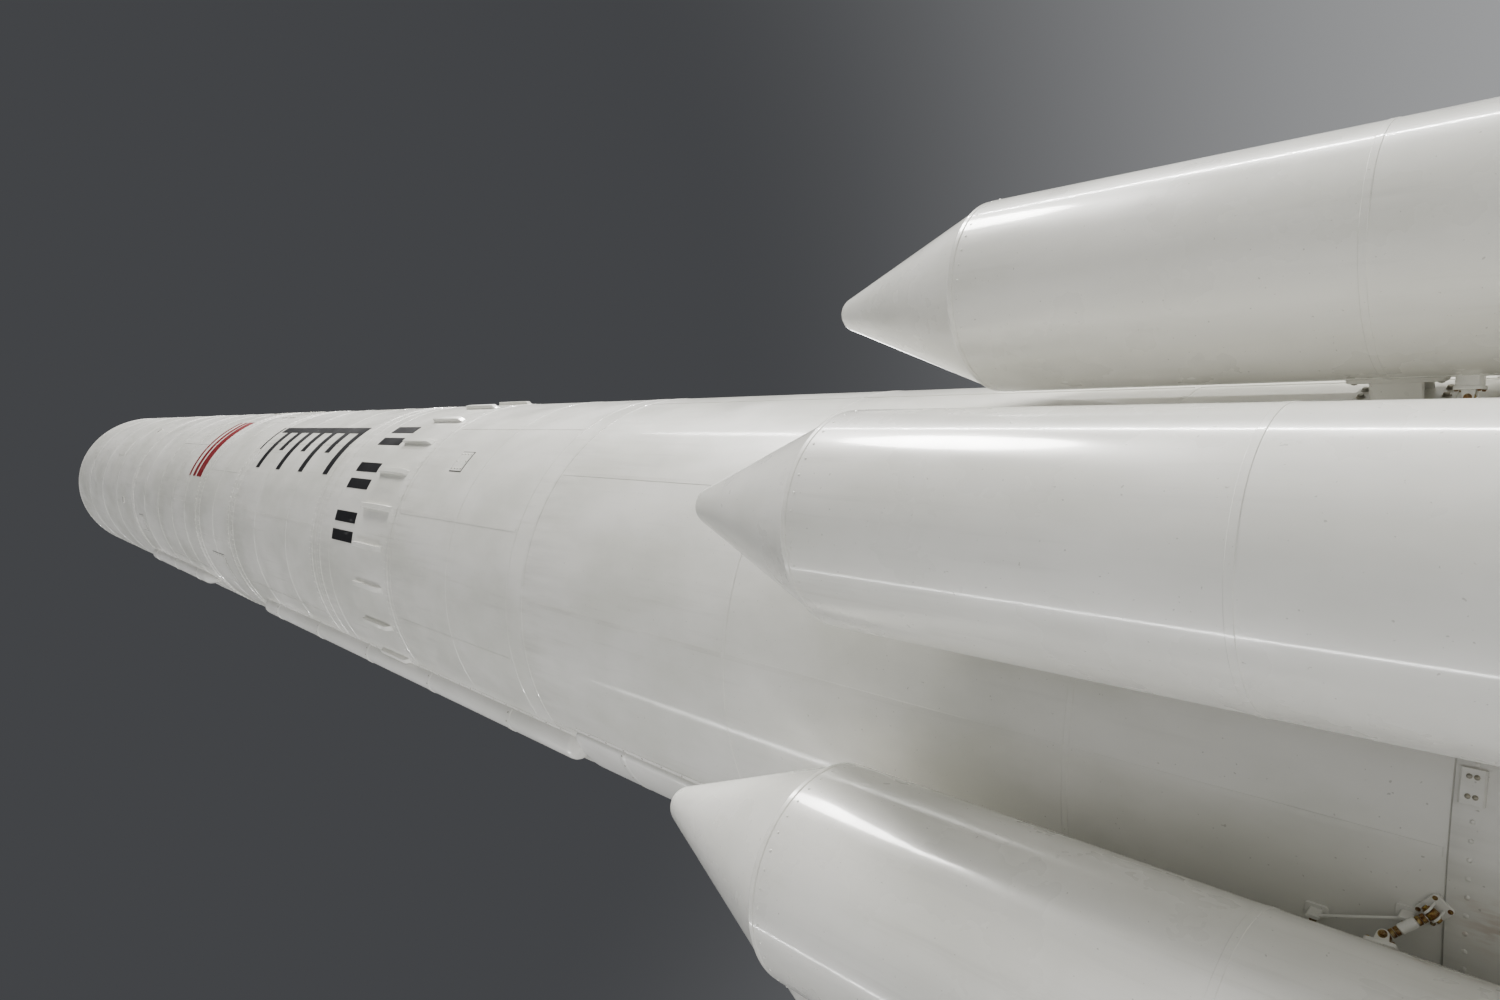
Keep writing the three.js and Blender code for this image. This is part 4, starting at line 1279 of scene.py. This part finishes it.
def bell_part():
    """The cooled bell: its wall is a ring of tubes, so the outer face is fluted."""
    shares = [0.02, 0.06, 0.12, 0.20, 0.30, 0.42, 0.55, 0.68, 0.80, 0.90, 1.0]
    outer = [(bell_radius(share), bell_height(share)) for share in shares]
    inner = [(radius - BELL["wall"], height) for radius, height in outer]
    floor = BELL["top"] - 0.02
    profile = [(0, floor), (BELL["throat"] - 0.016, floor)] + inner + outer[::-1]
    profile += [(BELL["throat"] - 0.002, BELL["top"]), (0, BELL["top"])]
    sides = BELL_TUBES["count"] * 2
    points, faces = lathe(profile, sides)
    fluted = []
    for x, y, z in points:
        radius = math.hypot(x, y)
        column = round(math.degrees(math.atan2(y, x)) / 360 * sides) % 2
        share = (BELL["top"] - z) / (BELL["top"] - BELL["low"])
        outside = 0.01 < share < 1.01 and radius > bell_radius(min(1, max(0, share))) - 0.004
        scale = 1 - BELL_TUBES["flute"] / radius if column and outside else 1.0
        fluted.append((x * scale, y * scale, z))
    return fluted, faces


def make_main_engine():
    chamber = ENGINE["chamber"]
    throat = BELL["throat"]
    shape = Shape()
    shape.add(bell_part(), 1)
    for share in (0.16, 0.34, 0.54, 0.74, 0.90):
        shape.add(hoop(bell_radius(share) - 0.004, bell_height(share), 0.010, 0.026, 96))
    shape.add(lathe(circle(0.011, 12, BELL["exit"] - 0.006, BELL["low"] + 0.012), 96, ring=True))
    outline = [
        (0, 1.118), (throat, 1.118), (throat + 0.012, 1.128), (throat + 0.012, 1.150), (throat, 1.158),
        (chamber, ENGINE["chamber_bottom"]), (chamber, 1.400), (chamber + 0.012, 1.404),
        (chamber + 0.012, 1.424), (chamber, 1.428), (chamber, 1.492), (chamber + 0.025, 1.495),
        (chamber + 0.025, 1.520),
        (chamber + 0.004, 1.524), (chamber - 0.02, 1.545), (0.10, ENGINE["head"]), (0, ENGINE["head"]),
    ]
    shape.add(lathe(soften(outline, 0.006), 96))
    shape.add(bolt(0.008, 0.011), 2, ring_above(chamber + 0.014, 1.520, 30))
    shape.add(bolt(0.007, 0.009), 2, ring_above(chamber + 0.014, 1.495, 30, down=True))
    shape.add(lathe(circle(0.034, 12, 0.168, 1.196), 72, ring=True))
    ear = eye_plate(GIMBAL["width"], GIMBAL["height"], GIMBAL["height"] + 0.105, GIMBAL["ear"], GIMBAL["pin"])
    lifted = at(0, 0, 2 * GIMBAL["height"]) @ turned(180, "X")
    for side in (-1, 1):
        middle = side * (GIMBAL["inner"] + GIMBAL["ear"] / 2)
        shape.add(ear, 0, [turned(90) @ at(middle, 0, 0) @ lifted])
    add_turbopump(shape)
    finishes = [STEEL, HOT_STEEL, ZINC, SEALANT_AND_SHADE]
    shape.piece("main_engine_body", finishes, ["main_engine"], "engine_steel", "thrust_chamber")


def add_turbopump(shape):
    """The turbopump beside the chamber, with its two volutes, flanges and pipes."""
    outline = [
        (0, 1.180), (0.075, 1.180), (0.082, 1.186), (0.082, 1.215), (0.105, 1.222), (0.118, 1.245),
        (0.118, 1.275), (0.100, 1.295), (0.072, 1.300), (0.072, 1.345), (0.088, 1.350), (0.088, 1.368),
        (0.072, 1.373), (0.080, 1.395), (0.112, 1.410), (0.119, 1.430), (0.112, 1.455), (0.085, 1.465),
        (0.085, 1.485), (0.060, 1.500), (0, 1.500),
    ]
    middle = at(0, PUMP_OFFSET, 0)
    back = PUMP_OFFSET - 0.02
    shape.add(lathe(soften(outline, 0.006), 64), 0, [middle])
    spots = ring_above(0.080, 1.368, 16) + ring_above(0.072, 1.485, 12)
    shape.add(bolt(0.006, 0.008), 2, [middle @ spot for spot in spots])
    for route in (
        [(0.0, back, 1.440), (0.0, 0.26, 1.440), (0.0, 0.17, 1.450)],
        [(0.0, back, 1.245), (0.0, 0.27, 1.240), (0.0, 0.15, 1.200)],
    ):
        path = smooth_path(route)
        shape.add(tube(path, 0.040, 20))
        half = len(path) // 2
        place = frame_of(path[half], path[half + 1] - path[half], (1, 0, 0))
        shape.add(rod(0.058, -0.012, 0.012, 28, 0.003), 0, [place])
        shape.add(bolt(0.005, 0.006), 2, [place @ spot for spot in ring_above(0.050, 0.012, 10)])
    can = [(0, -0.10), (0.045, -0.10), (0.052, -0.08), (0.052, 0.06), (0.035, 0.085), (0, 0.09)]
    shape.add(lathe(soften(can, 0.006), 32), 1, [at(0.155, back, 1.34)])
    line = [(0.155, back, 1.42), (0.150, 0.30, 1.49), (0.12, 0.20, 1.50), (0.08, 0.14, 1.535)]
    link = [(0.155, back, 1.25), (0.14, PUMP_OFFSET, 1.21), (0.08, PUMP_OFFSET, 1.20)]
    shape.add(tube(smooth_path(line), 0.012, 10))
    shape.add(tube(smooth_path(link), 0.016, 10))
    harness = [(0.205, 0, 1.50), (0.222, 0, 1.44), (0.218, 0.02, 1.33), (0.17, 0.03, 1.24)]
    for angle in (35, 155, 250, 300):
        shape.add(tube(smooth_path([turned(angle) @ Vector(point) for point in harness]), 0.006, 8), 3)


def make_gimbal_block():
    """A block with a pin and two collars along each of its axes."""
    half = 0.050
    rise = 0.035
    height = GIMBAL["height"]
    shape = Shape()
    shape.add(plate(2 * half, 2 * half, 0.014, height - rise, height + rise, 0.005, 4))
    pin = rod(GIMBAL["pin"], -0.0745, 0.0745, 36, 0.003)
    collar = rod(0.031, half - 0.002, half + 0.010, 36, 0.002)
    for out in (Vector((1, 0, 0)), Vector((0, 1, 0))):
        place = frame_of((0, 0, height), out)
        shape.add(pin, 0, [place])
        shape.add(collar, 0, [place, frame_of((0, 0, height), -out)])
    shape.piece("gimbal_block_body", [STEEL], ["gimbal_block"], "engine_steel", "gimbal")


def make_vernier(name, side):
    """A small steering engine: bell, chamber, head and the two pins that it swings on."""
    shape = Shape()
    bell = [(0.028 + 0.044 * share ** 0.6, -0.175 - 0.165 * share) for share in np.linspace(0, 1, 12)]
    inside = [(radius - 0.004, height) for radius, height in bell]
    outline = [(0, -0.168), (0.010, -0.170)] + inside + bell[::-1]
    outline += [(0.030, -0.160), (0.048, -0.119), (0.048, 0.010), (0.052, 0.012), (0.052, 0.026)]
    outline += [(0.044, 0.030), (0.036, 0.044), (0, 0.046)]
    shape.add(lathe(outline, 56), 1)
    for height in (-0.100, -0.060, -0.020):
        shape.add(hoop(0.046, height, 0.002, 0.014, 56))
    shape.add(hoop(0.068, -0.328, 0.002, 0.016, 56))
    shape.add(bolt(0.0035, 0.005), 2, ring_above(0.047, 0.026, 12))
    shape.add(rod(GIMBAL["pin"], -0.0615, 0.0615, 32, 0.003), 0, [frame_of((0, 0, 0), (1, 0, 0))])
    route = [(0.02, 0.0, 0.044), (0.036, 0.010, 0.052), (0.052, 0.012, 0.0)]
    route += [(0.052, 0.0, -0.09), (0.040, -0.01, -0.135)]
    for turn in (60, 240):
        shape.add(tube(smooth_path([turned(turn) @ Vector(point) for point in route]), 0.005, 8))
    place = at(side * VERNIER["offset"], 0, VERNIER["height"])
    finishes = [STEEL, HOT_STEEL, ZINC]
    shape.piece(name + "_body", finishes, [name], "engine_steel", name + "_body", place=place)


# Camera, lights, floor and backdrop

CAMERA = {"place": (-0.744, -3.806, 1.600), "lens": 21.95, "heading": 70.02, "elevation": 46.57}
CAMERA_ROLL = -85.24
SUNS = [
    ("key", -24.0, 34.0, 3.0, 14.0, (1.0, 0.985, 0.96)),
    ("fill", -140.0, 15.0, 0.35, 60.0, (0.95, 0.97, 1.0)),
    ("edge", 75.0, 40.0, 0.9, 24.0, (1.0, 1.0, 1.0)),
]
STRIPS = [("right_strip", -8.0, 4000.0), ("left_strip", -165.0, 1700.0)]
STRIP = {"distance": 30.0, "width": 0.35, "height": 40.0, "lift": 5.0, "spread": 110.0}
HORIZON = rgb(0.37, 0.374, 0.38)
ZENITH = rgb(0.075, 0.077, 0.082)


def make_camera():
    """The photograph's camera: low at the foot, looking up, and turned so that up is to the left."""
    data = bpy.data.cameras.new("camera")
    data.sensor_width = 36
    data.lens = CAMERA["lens"]
    data.clip_start = 0.05
    data.clip_end = 3000
    forward = direction(CAMERA["heading"], CAMERA["elevation"])
    level = forward.cross(Vector((0, 0, 1))).normalized()
    above = level.cross(forward)
    roll = math.radians(CAMERA_ROLL)
    right = level * math.cos(roll) + above * math.sin(roll)
    up = above * math.cos(roll) - level * math.sin(roll)
    camera = bpy.data.objects.new("camera", data)
    camera.matrix_world = Matrix((right, up, -forward)).transposed().to_4x4()
    camera.location = CAMERA["place"]
    bpy.context.scene.collection.objects.link(camera)
    bpy.context.scene.camera = camera


def place_light(name, kind, out, location, **settings):
    data = bpy.data.lights.new(name, kind)
    for title, value in settings.items():
        setattr(data, title, value)
    light = bpy.data.objects.new(name, data)
    light.rotation_euler = out.to_track_quat("Z", "Y").to_euler()
    light.location = location
    light.visible_camera = False
    bpy.context.scene.collection.objects.link(light)


def make_lights():
    """Soft suns, and tall strips that draw a thin bright line along each booster."""
    for name, angle, rise, strength, size, colour in SUNS:
        out = direction(angle, rise)
        place_light(name, "SUN", out, (0, 0, 30), energy=strength, angle=math.radians(size), color=colour)
    middle = Vector((0, 0, STRIP["lift"] + STRIP["height"] / 2))
    size = {"shape": "RECTANGLE", "size": STRIP["width"], "size_y": STRIP["height"]}
    for name, angle, watts in STRIPS:
        out = direction(angle)
        spread = math.radians(STRIP["spread"])
        place_light(name, "AREA", out, out * STRIP["distance"] + middle, energy=watts, spread=spread, **size)


def make_backdrop():
    """A pale floor, and a plain backdrop that is pale at the horizon and grey above."""
    world = bpy.data.worlds.new("backdrop")
    bpy.context.scene.world = world
    world.use_nodes = True
    nodes = Nodes(world.node_tree)
    height = nodes.node("SeparateXYZ", {0: nodes.node("TexCoord").outputs["Generated"]}).outputs[2]
    background = world.node_tree.nodes["Background"]
    nodes.put(background.inputs["Color"], nodes.blend(nodes.fit(height, -0.05, 0.75), HORIZON, ZENITH))
    background.inputs["Strength"].default_value = 1.0
    mesh = bpy.data.meshes.new("floor")
    points, faces = prism(circle(900, 96), -0.02, -0.0005)
    mesh.from_pydata(points, [], faces)
    finish = Finish("pale_floor", roughness=0.7)
    tint = finish.blend(finish.cloud(0.3, 0.7, 6.0), rgb(0.66, 0.66, 0.65), rgb(0.62, 0.62, 0.61))
    mesh.materials.append(finish.set(Base_Color=tint))
    floor = bpy.data.objects.new("floor", mesh)
    bpy.context.scene.collection.objects.link(floor)


make_camera()
make_lights()
make_backdrop()
make_engine_section()
for name in CORE_NODES[1:]:
    make_core_length(name)
for level in RACEWAYS:
    make_raceway(level, "left", 0)
    make_raceway(level, "right", 180)
make_markings()
make_fairing_half("front", -1)
make_fairing_half("rear", 1)
make_third_stage()
make_payload_adapter()
make_boosters()
make_main_engine()
make_gimbal_block()
make_vernier("vernier_left", -1)
make_vernier("vernier_right", 1)

bpy.context.scene.view_settings.view_transform = "AgX"
bpy.context.scene.view_settings.look = "AgX - Medium High Contrast"
